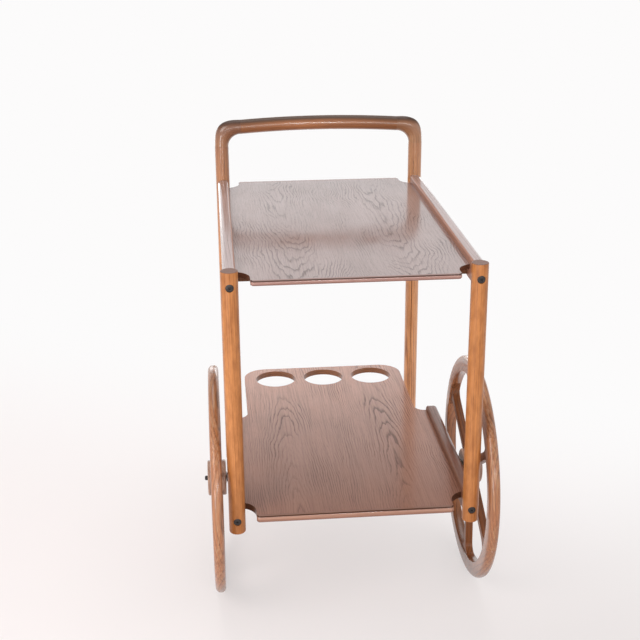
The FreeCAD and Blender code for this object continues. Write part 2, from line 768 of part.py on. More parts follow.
def lower_rails():
    """Lower side rails with a rounded nose behind the axle."""
    body = new_body("lower_rail_right")
    sketch = new_sketch(body, "YZ_Plane", "rail_side")
    far = S["lower_rail_length"]
    top = S["rail_height"]
    nose = S["lower_rail_nose_radius"]
    points = [
        (ZERO, ZERO), (far - nose, ZERO), (far, nose),
        (far, top - nose), (far - nose, top), (ZERO, top),
    ]
    draw_outline(sketch, points, {1: (nose, 1), 3: (nose, 1)})
    pad(body, sketch, "rail_block", S["rail_thickness"], midplane=True)
    half = S["rail_thickness"].value / 2

    def profile_edge(edge, x):
        return lies_at(edge, "X", x) and not near(edge.BoundBox.YMax, 0)

    round_edges(body, "outer_round", S["rail_outer_round"], lambda e: profile_edge(e, half))
    round_edges(body, "inner_round", S["rail_inner_round"], lambda e: profile_edge(e, -half))
    rail_ends(body, ZERO, "front_seat")
    thickness = S["lower_tray_thickness"]
    rail_groove(body, GROOVE_START, SHOULDER_Y, thickness)
    rail_fittings(body, ZERO, 1, "front")
    cleat_holes(body, [S["lower_front_cleat_setback"], LOWER_REAR_CLEAT], thickness)
    insert = S["insert_diameter"] / 2
    level = WHEEL_RADIUS - LOWER_RAIL_BOTTOM
    start = S["rail_thickness"] / 2 + S["overrun"]
    depth = S["overrun"] + S["insert_length"]
    bore(body, "YZ_Plane", (S["axle_setback"], level), insert, start, depth, "insert_hole", -1)
    place(body, HALF_SPREAD, POST_Y, LOWER_RAIL_BOTTOM)
    both_sides(body, "lower_rail")


def tray_screw_holes(body, setbacks):
    """Pilot holes under a tray for its cleats' screws."""
    radius = S["screw_diameter"] / 2
    for index, setback in enumerate(setbacks):
        for step in range(SCREWS_PER_CLEAT):
            x = S["screw_pitch"] * (step - (SCREWS_PER_CLEAT - 1) / 2)
            name = f"pilot{index}{step}"
            bore(body, "XY_Plane", (x, setback), radius, ZERO, S["screw_bite"], name, 1)


def tray_rebates(body, end, tray_thickness):
    """Rebates along a tray's long edges, which leave the tongues that the rails house."""
    level = tray_thickness - S["tray_shoulder"]
    outside = GROOVE_DEPTH_X + S["overrun"]
    for side, sign in (("right", 1), ("left", -1)):
        inner = RAIL_INNER * sign
        outer = outside * sign
        sketch = new_sketch(body, "XY_Plane", f"rebate_{side}_sketch", level)
        points = [(inner, ZERO), (outer, ZERO), (outer, end), (inner, end)]
        draw_outline(sketch, points)
        pocket(body, sketch, f"rebate_{side}", S["tray_shoulder"] + S["overrun"])


def upper_tray():
    """Upper tray panel with four notched corners, housed in the rails."""
    body = new_body("upper_tray")
    sketch = new_sketch(body, "XY_Plane", "tray_outline")
    front = S["lip_width"] - S["tray_overhang"]
    far = S["post_to_leg"]
    rear = far - front
    notch = S["notch_radius"]
    edge_front = NOTCH_END
    edge_rear = far - NOTCH_END
    right = [
        (NOTCH_X, front), (NOTCH_X, ZERO), (GROOVE_DEPTH_X, edge_front),
        (GROOVE_DEPTH_X, edge_rear), (NOTCH_X, far), (NOTCH_X, rear),
    ]
    left = [(-x, y) for x, y in reversed(right)]
    arcs = {1: (notch, -1), 3: (notch, -1), 7: (notch, -1), 9: (notch, -1)}
    draw_outline(sketch, right + left, arcs)
    pad(body, sketch, "panel", S["upper_tray_thickness"])
    tray_rebates(body, far, S["upper_tray_thickness"])
    tray_screw_holes(body, [S["upper_cleat_setback"], far - S["upper_cleat_setback"]])
    place(body, ZERO, POST_Y, UPPER_TRAY_TOP - S["upper_tray_thickness"])
    keep(body)


def lower_tray():
    """Lower tray panel: notched in front, narrower and holed for bottles at the rear."""
    body = new_body("lower_tray")
    sketch = new_sketch(body, "XY_Plane", "tray_outline")
    front = S["lip_width"] - S["tray_overhang"]
    rear = LOWER_TRAY_REAR
    notch = S["notch_radius"]
    flare = S["shoulder_radius"]
    corner = S["extension_corner_radius"]
    waist = WAIST_X
    shoulder = SHOULDER_Y
    right = [
        (NOTCH_X, front), (NOTCH_X, ZERO), (GROOVE_DEPTH_X, NOTCH_END),
        (GROOVE_DEPTH_X, shoulder), (waist + flare, shoulder), (waist, shoulder + flare),
        (waist, rear - corner), (waist - corner, rear),
    ]
    left = [(-x, y) for x, y in reversed(right)]
    arcs = {
        1: (notch, -1), 4: (flare, -1), 6: (corner, 1),
        8: (corner, 1), 10: (flare, -1), 13: (notch, -1),
    }
    draw_outline(sketch, right + left, arcs)
    pad(body, sketch, "panel", S["lower_tray_thickness"])
    tray_rebates(body, shoulder + S["overrun"], S["lower_tray_thickness"])
    for index, sign in enumerate((-1, 0, 1)):
        x = BOTTLE_PITCH * sign if sign else ZERO
        centre = (x, BOTTLE_Y)
        radius = S["bottle_hole_diameter"] / 2
        through = S["lower_tray_thickness"] + S["overrun"]
        bore(body, "XY_Plane", centre, radius, ZERO, through, f"bottle{index}", 1)
    tray_screw_holes(body, [S["lower_front_cleat_setback"], LOWER_REAR_CLEAT])
    place(body, ZERO, POST_Y, LOWER_TRAY_TOP - S["lower_tray_thickness"])
    keep(body)


def tray_lip(label, y, top, thickness, facing):
    """Solid lipping along a tray's open edge; facing is -1 at the front, 1 at the rear."""
    body = new_body(label)
    sketch = new_sketch(body, "XY_Plane", "lip_outline")
    corner = S["lip_corner_radius"]
    depth = S["lip_width"]
    outer = depth * facing
    turn = (depth - corner) * facing
    points = [
        (NOTCH_X, ZERO), (NOTCH_X, turn), (NOTCH_X - corner, outer),
        (-NOTCH_X + corner, outer), (-NOTCH_X, turn), (-NOTCH_X, ZERO),
    ]
    draw_outline(sketch, points, {1: (corner, facing), 3: (corner, facing)})
    pad(body, sketch, "lip", thickness)
    thick = thickness.value

    def outer_rim(edge):
        flat = lies_at(edge, "Z", 0) or lies_at(edge, "Z", thick)
        return flat and not lies_at(edge, "Y", 0)

    round_edges(body, "nosing", S["lip_round"], outer_rim)
    place(body, ZERO, y, top - thickness)
    keep(body)


def tray_lips():
    """Lippings on both ends of the upper tray and the front of the lower one."""
    front = POST_Y - S["tray_overhang"] + S["lip_width"]
    rear = LEG_Y + S["tray_overhang"] - S["lip_width"]
    upper = (UPPER_TRAY_TOP, S["upper_tray_thickness"])
    lower = (LOWER_TRAY_TOP, S["lower_tray_thickness"])
    tray_lip("upper_front_lip", front, *upper, -1)
    tray_lip("upper_rear_lip", rear, *upper, 1)
    tray_lip("lower_front_lip", front, *lower, -1)


def cleats():
    """Cleats across the cart under both trays, with their dowels and screws."""
    far = S["post_to_leg"]
    upper = UPPER_TRAY_TOP - S["upper_tray_thickness"]
    lower = LOWER_TRAY_TOP - S["lower_tray_thickness"]
    rows = [
        ("upper_cleat_front", S["upper_cleat_setback"], upper),
        ("upper_cleat_rear", far - S["upper_cleat_setback"], upper),
        ("lower_cleat_front", S["lower_front_cleat_setback"], lower),
        ("lower_cleat_rear", LOWER_REAR_CLEAT, lower),
    ]
    dowels = []
    screws = []
    for label, setback, tray_underside in rows:
        bottom = tray_underside - S["cleat_height"]
        middle_y = POST_Y + setback
        block = DOC.addObject("Part::Box", f"{label}_block")
        bind(block, "Length", RAIL_INNER + RAIL_INNER)
        bind(block, "Width", S["cleat_width"])
        bind(block, "Height", S["cleat_height"])
        place(block, -RAIL_INNER, middle_y - S["cleat_width"] / 2, bottom)
        tools = []
        level = bottom + S["cleat_height"] / 2
        for side, sign in (("right", 1), ("left", -1)):
            inner_end = (RAIL_INNER - S["cleat_dowel_depth"]) * sign
            outer_end = (RAIL_INNER + S["cleat_dowel_depth"]) * sign
            start = inner_end if sign > 0 else outer_end
            for step, offset in enumerate((-1, 1)):
                y = middle_y + S["cleat_dowel_pitch"] * (offset / 2)
                radius = S["cleat_dowel_diameter"] / 2
                length = S["cleat_dowel_depth"] * 2
                name = f"{label}_{side}{step}"
                dowels.append(along_x(f"{name}_dowel", radius, length, start, y, level))
                tools.append(along_x(f"{name}_hole", radius, length, start, y, level))
        for step in range(SCREWS_PER_CLEAT):
            x = S["screw_pitch"] * (step - (SCREWS_PER_CLEAT - 1) / 2)
            spot = x if step != (SCREWS_PER_CLEAT - 1) / 2 else ZERO
            name = f"{label}_screw{step}"
            screws.append(wood_screw(name, spot, middle_y, bottom))
            tools.append(wood_screw(f"{name}_hole", spot, middle_y, bottom))
        keep(cut(label, block, tools))
    grouped("cleat_dowels", dowels)
    grouped("cleat_screws", screws)


def wood_screw(name, x, y, bottom):
    """A countersunk wood screw, head down, that ends inside the tray."""
    length = S["cleat_height"] + S["screw_bite"]
    shank = rod(f"{name}_shank", S["screw_diameter"] / 2, length, x, y, bottom)
    head = DOC.addObject("Part::Cone", f"{name}_head")
    bind(head, "Radius1", S["screw_head_diameter"] / 2)
    bind(head, "Radius2", S["screw_diameter"] / 2)
    bind(head, "Height", (S["screw_head_diameter"] - S["screw_diameter"]) / 2)
    place(head, x, y, bottom)
    return fused(name, [shank, head])


def frame_bolt(name, x, face_y, level, direction):
    """A socket-head bolt; face_y is the seat of its head, direction its way in."""
    away = direction < 0
    turn = (Vector(1, 0, 0), 90 if away else -90)
    reach = S["bolt_reach"] + S["bolt_tail"] + POST_RADIUS
    sink = S["bolt_head_height"] + S["bolt_head_recess"]
    length = reach + POST_RADIUS - sink
    shank = rod(f"{name}_shank", S["bolt_diameter"] / 2, length, x, face_y, level, *turn)
    head_y = face_y + S["bolt_head_height"] if away else face_y - S["bolt_head_height"]
    head = rod(f"{name}_head", S["bolt_head_diameter"] / 2, S["bolt_head_height"], x, head_y, level, *turn)
    socket = DOC.addObject("Part::Prism", f"{name}_socket")
    socket.Polygon = 6
    bind(socket, "Circumradius", S["hex_key_size"] * HEX_CORNER_RATIO)
    bind(socket, "Height", S["hex_key_depth"])
    place(socket, x, head_y, level, *turn)
    return cut(name, fused(f"{name}_blank", [shank, head]), [socket])


def barrel_nut(name, x, y, level):
    """An upright barrel nut with the bolt's hole across it."""
    length = S["barrel_nut_length"]
    barrel = rod(f"{name}_barrel", S["barrel_nut_diameter"] / 2, length, x, y, level - length / 2)
    start = y - S["barrel_nut_diameter"]
    hole = along_y(f"{name}_hole", S["bolt_diameter"] / 2, S["barrel_nut_diameter"] * 2, x, start, level)
    return cut(name, barrel, [hole])


def frame_fasteners():
    """Bolts, barrel nuts and dowels at each rail end."""
    bolts = []
    nuts = []
    dowels = []
    sink = S["bolt_head_height"] + S["bolt_head_recess"]
    joints = [
        ("upper_front", POST_Y, UPPER_BOLT_Z, 1),
        ("lower_front", POST_Y, LOWER_BOLT_Z, 1),
        ("upper_rear", LEG_Y, UPPER_BOLT_Z, -1),
    ]
    for joint, axis_y, level, direction in joints:
        for side, sign in (("right", 1), ("left", -1)):
            x = HALF_SPREAD * sign
            face_y = axis_y - (POST_RADIUS - sink) * direction
            bolts.append(frame_bolt(f"bolt_{joint}_{side}", x, face_y, level, direction))
            nut_y = axis_y + (S["bolt_reach"] + POST_RADIUS) * direction
            nuts.append(barrel_nut(f"nut_{joint}_{side}", x, nut_y, level))
            dowel_z = level + S["rail_dowel_rise"]
            length = S["rail_dowel_in_post"] + S["rail_dowel_in_rail"]
            near_end = axis_y + (POST_RADIUS - S["rail_dowel_in_post"]) * direction
            start = near_end if direction > 0 else near_end - length
            radius = S["rail_dowel_diameter"] / 2
            dowels.append(along_y(f"dowel_{joint}_{side}", radius, length, x, start, dowel_z))
    grouped("frame_bolts", bolts)
    grouped("barrel_nuts", nuts)
    grouped("rail_dowels", dowels)


def wheel_ring(label, segment, angle_offset):
    """Six copies of one piece about the right-hand wheel's axis, as separate solids."""
    members = []
    for index in range(SPOKES):
        link = DOC.addObject("App::Link", f"{label}_{index}")
        link.LinkedObject = segment
        link.LinkTransform = False
        # Angles run from the rear towards the top, as seen from the cart's right
        angle = angle_offset.value + 360 * index / SPOKES - 90
        link.Placement = Placement(Vector(), Rotation(Vector(1, 0, 0), angle))
        bind(link, "Placement.Base.x", WHEEL_X)
        bind(link, "Placement.Base.y", AXLE_Y)
        bind(link, "Placement.Base.z", WHEEL_RADIUS)
        members.append(link)
    return grouped(label, members)


def rim_segment():
    """One sixth of a rim: rounded outside, flat inside, mortised for its spoke."""
    body = new_body("rim_segment")
    sketch = new_sketch(body, "XZ_Plane", "rim_section")
    half = S["rim_thickness"] / 2
    outer = S["rim_outer_round"]
    inner = S["rim_inner_round"]
    top = WHEEL_RADIUS
    points = [
        (-half + inner, RIM_INNER), (half - inner, RIM_INNER), (half, RIM_INNER + inner),
        (half, top - outer), (half - outer, top), (-half + outer, top),
        (-half, top - outer), (-half, RIM_INNER + inner),
    ]
    arcs = {1: (inner, 1), 3: (outer, 1), 5: (outer, 1), 7: (inner, 1)}
    draw_outline(sketch, points, arcs)
    turned = body.newObject("PartDesign::Revolution", "sixth")
    turned.Profile = sketch
    turned.ReferenceAxis = (sketch, ["H_Axis"])
    turned.Type = "TwoAngles"
    bind(turned, "Angle", S["joint_lead_angle"])
    turned.setExpression("Angle2", f"{360 / SPOKES!r} - {S['joint_lead_angle'].text}")
    sketch.Visibility = False
    DOC.recompute()
    tenon = S["tenon_diameter"] / 2
    start = RIM_INNER - S["overrun"]
    depth = S["overrun"] + S["tenon_length"]
    bore(body, "XY_Plane", (ZERO, ZERO), tenon, start, depth, "mortise", 1)
    return body


def spoke():
    """One slim spoke: seated on the hub core, flared and tenoned into the rim."""
    body = new_body("spoke_blank")
    sketch = new_sketch(body, "YZ_Plane", "spoke_side")
    half = S["spoke_width"] / 2
    flare = S["spoke_flare_radius"]
    flare_off = half + flare
    to_centre = RIM_INNER - flare
    flare_z = leg_of(to_centre, flare_off)
    tip_y = scaled_by(flare_off, RIM_INNER, to_centre)
    tip_z = scaled_by(flare_z, RIM_INNER, to_centre)
    root_z = leg_of(CORE_RADIUS, half)
    points = [
        (half, root_z), (half, flare_z), (tip_y, tip_z),
        (-tip_y, tip_z), (-half, flare_z), (-half, root_z),
    ]
    arcs = {1: (flare, -1), 2: (RIM_INNER, 1), 3: (flare, -1), 5: (CORE_RADIUS, -1)}
    draw_outline(sketch, points, arcs)
    pad(body, sketch, "spoke_block", S["spoke_thickness"], midplane=True)
    thick = S["spoke_thickness"].value / 2

    def side_edge(edge):
        on_face = lies_at(edge, "X", thick) or lies_at(edge, "X", -thick)
        box = edge.BoundBox
        spans_middle = box.YMin < -half.value / 2 and box.YMax > half.value / 2
        return on_face and not spans_middle

    round_edges(body, "side_rounds", S["spoke_edge_round"], side_edge)
    tenon_sketch = new_sketch(body, "XY_Plane", "tenon_circle", to_centre)
    draw_circle(tenon_sketch, (ZERO, ZERO), S["tenon_diameter"] / 2)
    pad(body, tenon_sketch, "tenon", flare + S["tenon_length"])
    return body


def tube_x(name, outer, inner, start, length):
    """A ring about the right-hand wheel's axis that starts at an X place."""
    body_outer = along_x(f"{name}_outer", outer, length, start, AXLE_Y, WHEEL_RADIUS)
    past = S["overrun"]
    hole = along_x(f"{name}_bore", inner, length + past + past, start - past, AXLE_Y, WHEEL_RADIUS)
    return cut(name, body_outer, [hole])


def hub_disc(label, start, recess):
    """A turned hub disc with rounded rim; recess sinks the outer one for the cap."""
    body = new_body(label)
    sketch = new_sketch(body, "YZ_Plane", "disc_circle")
    draw_circle(sketch, (ZERO, ZERO), HUB_RADIUS)
    pad(body, sketch, "disc", DISC_THICKNESS)
    outside = DISC_THICKNESS.value if recess else 0
    round_edges(body, "disc_round", S["hub_edge_round"], lambda e: lies_at(e, "X", outside))
    long = DISC_THICKNESS + S["overrun"]
    bore(body, "YZ_Plane", (ZERO, ZERO), BUSH_OUTER, ZERO, long, "bush_bore", 1)
    if recess:
        floor = DISC_THICKNESS - S["cap_recess_depth"]
        radius = S["cap_recess_diameter"] / 2
        bore(body, "YZ_Plane", (ZERO, ZERO), radius, floor, S["overrun"] + floor, "cap_recess", 1)
    place(body, start, AXLE_Y, WHEEL_RADIUS)
    both_sides(body, label.replace("_right", ""))


def wheels():
    """The right-hand wheel's pieces and their left-hand twins."""
    # A rim segment's joint lies ahead of its spoke by the lead angle
    rim = wheel_ring("wheel_rim_right", rim_segment(), S["spoke_angle"])
    mirrored(rim, "wheel_rim_left")
    spokes = wheel_ring("wheel_spokes_right", spoke(), S["spoke_angle"])
    mirrored(spokes, "wheel_spokes_left")
    core_start = WHEEL_X - S["spoke_thickness"] / 2
    core = tube_x("hub_core_right", CORE_RADIUS, BUSH_OUTER, core_start, S["spoke_thickness"])
    both_sides(core, "hub_core")
    hub_disc("hub_disc_inner_right", HUB_INNER_X, False)
    hub_disc("hub_disc_outer_right", WHEEL_X + S["spoke_thickness"] / 2, True)
    length = RECESS_FLOOR_X - HUB_INNER_X
    bush = tube_x("wheel_bush_right", BUSH_OUTER, BUSH_INNER, HUB_INNER_X, length)
    both_sides(bush, "wheel_bush")


def axles():
    """Stub axles with collar, insert, thrust washer and cap nut."""
    z = WHEEL_RADIUS
    radius = S["axle_diameter"] / 2
    insert_start = RAIL_OUTER - S["insert_length"]
    insert = tube_x("axle_insert_right", S["insert_diameter"] / 2, radius, insert_start, S["insert_length"])
    both_sides(insert, "axle_insert")
    flange_start = RECESS_FLOOR_X + S["running_gap"]
    journal = along_x("axle_journal", radius, flange_start - insert_start, insert_start, AXLE_Y, z)
    collar = DOC.addObject("Part::Prism", "axle_collar")
    collar.Polygon = 6
    bind(collar, "Circumradius", S["collar_flats"] * HEX_CORNER_RATIO)
    bind(collar, "Height", S["collar_length"])
    place(collar, RAIL_OUTER, AXLE_Y, z, Vector(0, 1, 0), 90)
    thread_radius = S["cap_thread_diameter"] / 2
    thread_length = S["cap_flange_thickness"] + S["cap_reach"] / 2
    thread = along_x("axle_thread", thread_radius, thread_length, flange_start, AXLE_Y, z)
    axle = fused("stub_axle_right", [journal, collar, thread])
    both_sides(axle, "stub_axle")
    washer_radius = S["thrust_washer_diameter"] / 2
    washer_bore = radius + S["axle_fit"]
    thickness = S["thrust_washer_thickness"]
    washer = tube_x("thrust_washer_right", washer_radius, washer_bore, COLLAR_END_X, thickness)
    both_sides(washer, "thrust_washer")
    flange_radius = S["cap_flange_diameter"] / 2
    flange_thickness = S["cap_flange_thickness"]
    flange = along_x("cap_flange", flange_radius, flange_thickness, flange_start, AXLE_Y, z)
    stem_length = flange_thickness + S["cap_reach"] - S["cap_chamfer"]
    stem = along_x("cap_stem", S["cap_diameter"] / 2, stem_length, flange_start, AXLE_Y, z)
    tip = DOC.addObject("Part::Cone", "cap_tip")
    bind(tip, "Radius1", S["cap_diameter"] / 2)
    bind(tip, "Radius2", S["cap_diameter"] / 2 - S["cap_chamfer"])
    bind(tip, "Height", S["cap_chamfer"])
    place(tip, flange_start + stem_length, AXLE_Y, z, Vector(0, 1, 0), 90)
    hole = along_x("cap_hole", thread_radius, thread_length, flange_start, AXLE_Y, z)
    both_sides(cut("axle_cap_right", fused("cap_blank", [flange, stem, tip]), [hole]), "axle_cap")


def check_and_export():
    """Stop on any failed object or bad shape, then write each node's STEP file."""
    DOC.recompute()
    for item in DOC.Objects:
        if "Invalid" in item.State or "Error" in item.State:
            raise ValueError(f"{item.Label} did not build: {item.State}")
    os.makedirs("parts", exist_ok=True)
    for node in NODES:
        shape = node.Shape
        if shape.isNull() or not shape.isValid() or not shape.Solids:
            raise ValueError(f"{node.Label} has no sound solid")
        shape.exportStep(f"parts/{node.Label}.step")
        print(f"{node.Label}: {len(shape.Solids)} solid(s), {shape.Volume / 1000:.1f} cm3")


def build():
    """Make every sub-part in order."""
    front_posts()
    rear_legs()
    leg_glides()
    handle(HandleLine())
    upper_rails()
    lower_rails()
    upper_tray()
    lower_tray()
    tray_lips()
    cleats()
    frame_fasteners()
    wheels()
    axles()
    check_and_export()


build()
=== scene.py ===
"""Looks of the serving cart: lacquered oak, veneer, wheels, steel and a pale studio.

Metres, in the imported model's frame: X to the cart's right, Y towards the handle, Z up.
"""

import json
import logging
import math
from dataclasses import dataclass, field, replace
from enum import Enum
from typing import Callable, Iterable, Sequence

import bmesh
import bpy
from mathutils import Matrix, Vector


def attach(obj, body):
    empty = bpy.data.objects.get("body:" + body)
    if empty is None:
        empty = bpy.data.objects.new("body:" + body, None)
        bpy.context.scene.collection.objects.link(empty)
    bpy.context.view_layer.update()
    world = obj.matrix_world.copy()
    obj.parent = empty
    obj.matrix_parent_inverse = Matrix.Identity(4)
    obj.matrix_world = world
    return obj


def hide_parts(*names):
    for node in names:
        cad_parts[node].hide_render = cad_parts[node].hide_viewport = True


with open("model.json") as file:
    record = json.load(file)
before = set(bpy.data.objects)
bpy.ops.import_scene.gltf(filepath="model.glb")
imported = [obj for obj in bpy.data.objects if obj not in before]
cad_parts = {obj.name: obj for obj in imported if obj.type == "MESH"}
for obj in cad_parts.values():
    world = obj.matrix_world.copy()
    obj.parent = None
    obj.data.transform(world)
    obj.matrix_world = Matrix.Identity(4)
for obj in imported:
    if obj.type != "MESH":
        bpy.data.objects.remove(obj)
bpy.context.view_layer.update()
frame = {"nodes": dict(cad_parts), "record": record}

logging.basicConfig(level=logging.INFO, format="%(name)s: %(message)s")
log = logging.getLogger("serving_cart")

GRAIN = "grain_place"
BOARD = "board_shift"
WEAR = "wear_share"
FACING = "facing"
# Lengths up to a hair count as none, and points of a CAD mesh within two are one
HAIR = 1e-6
# Faces that turn by less than this, in degrees, lie in one plane
FLAT_DEG = 0.05


def linear(hex_colour: str) -> tuple[float, float, float, float]:
    """Turn an sRGB hex colour into the linear values that shaders take.

    Args:
        hex_colour: six hex digits, with or without a leading hash.

    Returns:
        Red, green, blue and an alpha of 1.
    """
    digits = hex_colour.lstrip("#")
    values = [int(digits[i:i + 2], 16) / 255 for i in (0, 2, 4)]
    out = [v / 12.92 if v <= 0.04045 else ((v + 0.055) / 1.055) ** 2.4 for v in values]
    return out[0], out[1], out[2], 1.0


def add_node(tree: bpy.types.NodeTree, kind: str, inputs: dict | None = None, **settings) -> bpy.types.Node:
    """Add one node with its settings, values and links.

    Args:
        tree: the shader or geometry tree.
        kind: the node's type name.
        inputs: values or output sockets by input name or number.
        settings: properties of the node itself.

    Returns:
        The new node.
    """
    node = tree.nodes.new(kind)
    for name, value in settings.items():
        setattr(node, name, value)
    for key, value in (inputs or {}).items():
        if isinstance(value, bpy.types.NodeSocket):
            tree.links.new(value, node.inputs[key])
        else:
            node.inputs[key].default_value = value
    return node


def set_ramp(node: bpy.types.Node, stops: Sequence[tuple[float, float]]) -> bpy.types.NodeSocket:
    """Give a colour ramp grey stops.

    Args:
        node: the ramp node.
        stops: pairs of place and grey value.

    Returns:
        The ramp's colour output.
    """
    ramp = node.color_ramp
    while len(ramp.elements) < len(stops):
        ramp.elements.new(0.5)
    for element, (place, grey) in zip(ramp.elements, stops):
        element.position = place
        element.color = (grey, grey, grey, 1)
    return node.outputs[0]


def new_material(name: str) -> bpy.types.Material:
    """An empty node material.

    Args:
        name: the material's name.

    Returns:
        The material, with no nodes yet.
    """
    material = bpy.data.materials.new(name)
    material.use_nodes = True
    material.node_tree.nodes.clear()
    return material


class Grain(Enum):
    """Which way a board's grain runs."""

    ACROSS_CART = "x"
    ALONG_CART = "y"
    UPRIGHT = "z"
    BOARD = "own"


class Cut(Enum):
    """How the board was cut from the log."""

    RIFT = "rift"
    CROWN = "crown"


@dataclass(frozen=True)
class CrownFigure:
    """The arches of a crown-cut veneer, in metres from the cart's middle."""

    leaf_offset: float = 0.10
    heart_depth: float = 0.005
    taper: float = 0.075
    foot: float = -0.36
    drift: float = 0.025
    wiggle: float = 0.006
    lift: float = 0.016
    jag: float = 0.002
    shift: float = 0.0
    shift_in_depth_share: float = 0.7
    shift_along: float = 5.3


@dataclass(frozen=True)
class Tone:
    """A second colour that the wood drifts to along an axis of the cart, in metres; on most finishes it is
    painted light and shade.
    """

    colour: str
    axis: int
    start: float
    stop: float
    mirrored: bool = False


@dataclass(frozen=True)
class Pattern:
    """Noise drawn out along the grain, in features per metre, and the part of its range that counts."""

    across: float
    along: float
    octaves: float = 2.0
    low: float = 0.0
    high: float = 1.0
    octave_gain: float = 0.55

    def raw(self, tree: bpy.types.NodeTree, place: bpy.types.NodeSocket) -> bpy.types.NodeSocket:
        """The noise itself.

        Args:
            tree: the material's tree.
            place: the place in the board.

        Returns:
            A value from 0 to 1.
        """
        drawn_out = add_node(tree, "ShaderNodeVectorMath",
                             {0: place, 1: (self.across, self.across, self.along)}, operation="MULTIPLY")
        return add_node(tree, "ShaderNodeTexNoise", {"Vector": drawn_out.outputs[0], "Scale": 1.0,
                                                     "Detail": self.octaves,
                                                     "Roughness": self.octave_gain}).outputs[0]

    def share(self, tree: bpy.types.NodeTree, place: bpy.types.NodeSocket, bottom: float = 0.0,
              top: float = 1.0) -> bpy.types.NodeSocket:
        """The noise between low and high, spread from bottom to top.

        Args:
            tree: the material's tree.
            place: the place in the board.
            bottom: the value at low and below it.
            top: the value at high and above it.

        Returns:
            The value.
        """
        return add_node(tree, "ShaderNodeMapRange",
                        {"Value": self.raw(tree, place), "From Min": self.low, "From Max": self.high,
                         "To Min": bottom, "To Max": top}).outputs[0]

    def push(self, tree: bpy.types.NodeTree, place: bpy.types.NodeSocket, value: bpy.types.NodeSocket,
             reach: float) -> bpy.types.NodeSocket:
        """Move a value as the noise says.

        Args:
            tree: the material's tree.
            place: the place in the board.
            value: what is moved.
            reach: how far it moves at most.

        Returns:
            The moved value.
        """
        return add_node(tree, "ShaderNodeMath", {0: self.raw(tree, place), 1: reach, 2: value},
                        operation="MULTIPLY_ADD").outputs[0]


class WoodMarks:
    """The marks that growth, stain, spraying and hands leave in the wood."""

    # The rings of a rift board wander over 110 mm across and 770 mm along
    wander = Pattern(9.0, 1.3)
    # A veneer's arches drift, wiggle, lift and jag over 125, 24, 200 and 8 mm
    drift = Pattern(8.0, 3.5)
    wiggle = Pattern(42.0, 14.0)
    lift = Pattern(5.0, 3.0)
    jag = Pattern(125.0, 10.0)
    # Rings grow faint in places 77 mm wide in a veneer and 38 mm wide in a rift board
    veneer_faint = Pattern(13.0, 6.0, low=0.42, high=0.6)
    board_faint = Pattern(26.0, 4.5, low=0.36, high=0.62)
    # Pore rows run along the grain; rows 0.5 mm apart are drawn 2 mm apart so that they show
    streaks = Pattern(480.0, 9.0, low=0.42, high=0.68)
    # Pores are 0.3 mm wide in oak; drawn 0.9 mm wide and 17 mm long so that they show
    pores = Pattern(1100.0, 60.0, 1.0, 0.56, 0.7)
    # The stain lies in clouds 70 mm wide, and in flecks 10 mm wide where it was wiped on
    clouds = Pattern(14.0, 3.0, 3.0, 0.3, 0.7)
    flecks = Pattern(95.0, 34.0, 4.0, 0.38, 0.66)
    # The lacquer rubs through in patches 4 mm wide, dulls over 55 mm and levels out over 33 mm
    rubbed = Pattern(260.0, 11.0, 4.0, 0.44, 0.66)
    dulled = Pattern(18.0, 9.0, 4.0, 0.25, 0.75)
    levelled = Pattern(30.0, 12.0, 3.0, 0.25, 0.75)


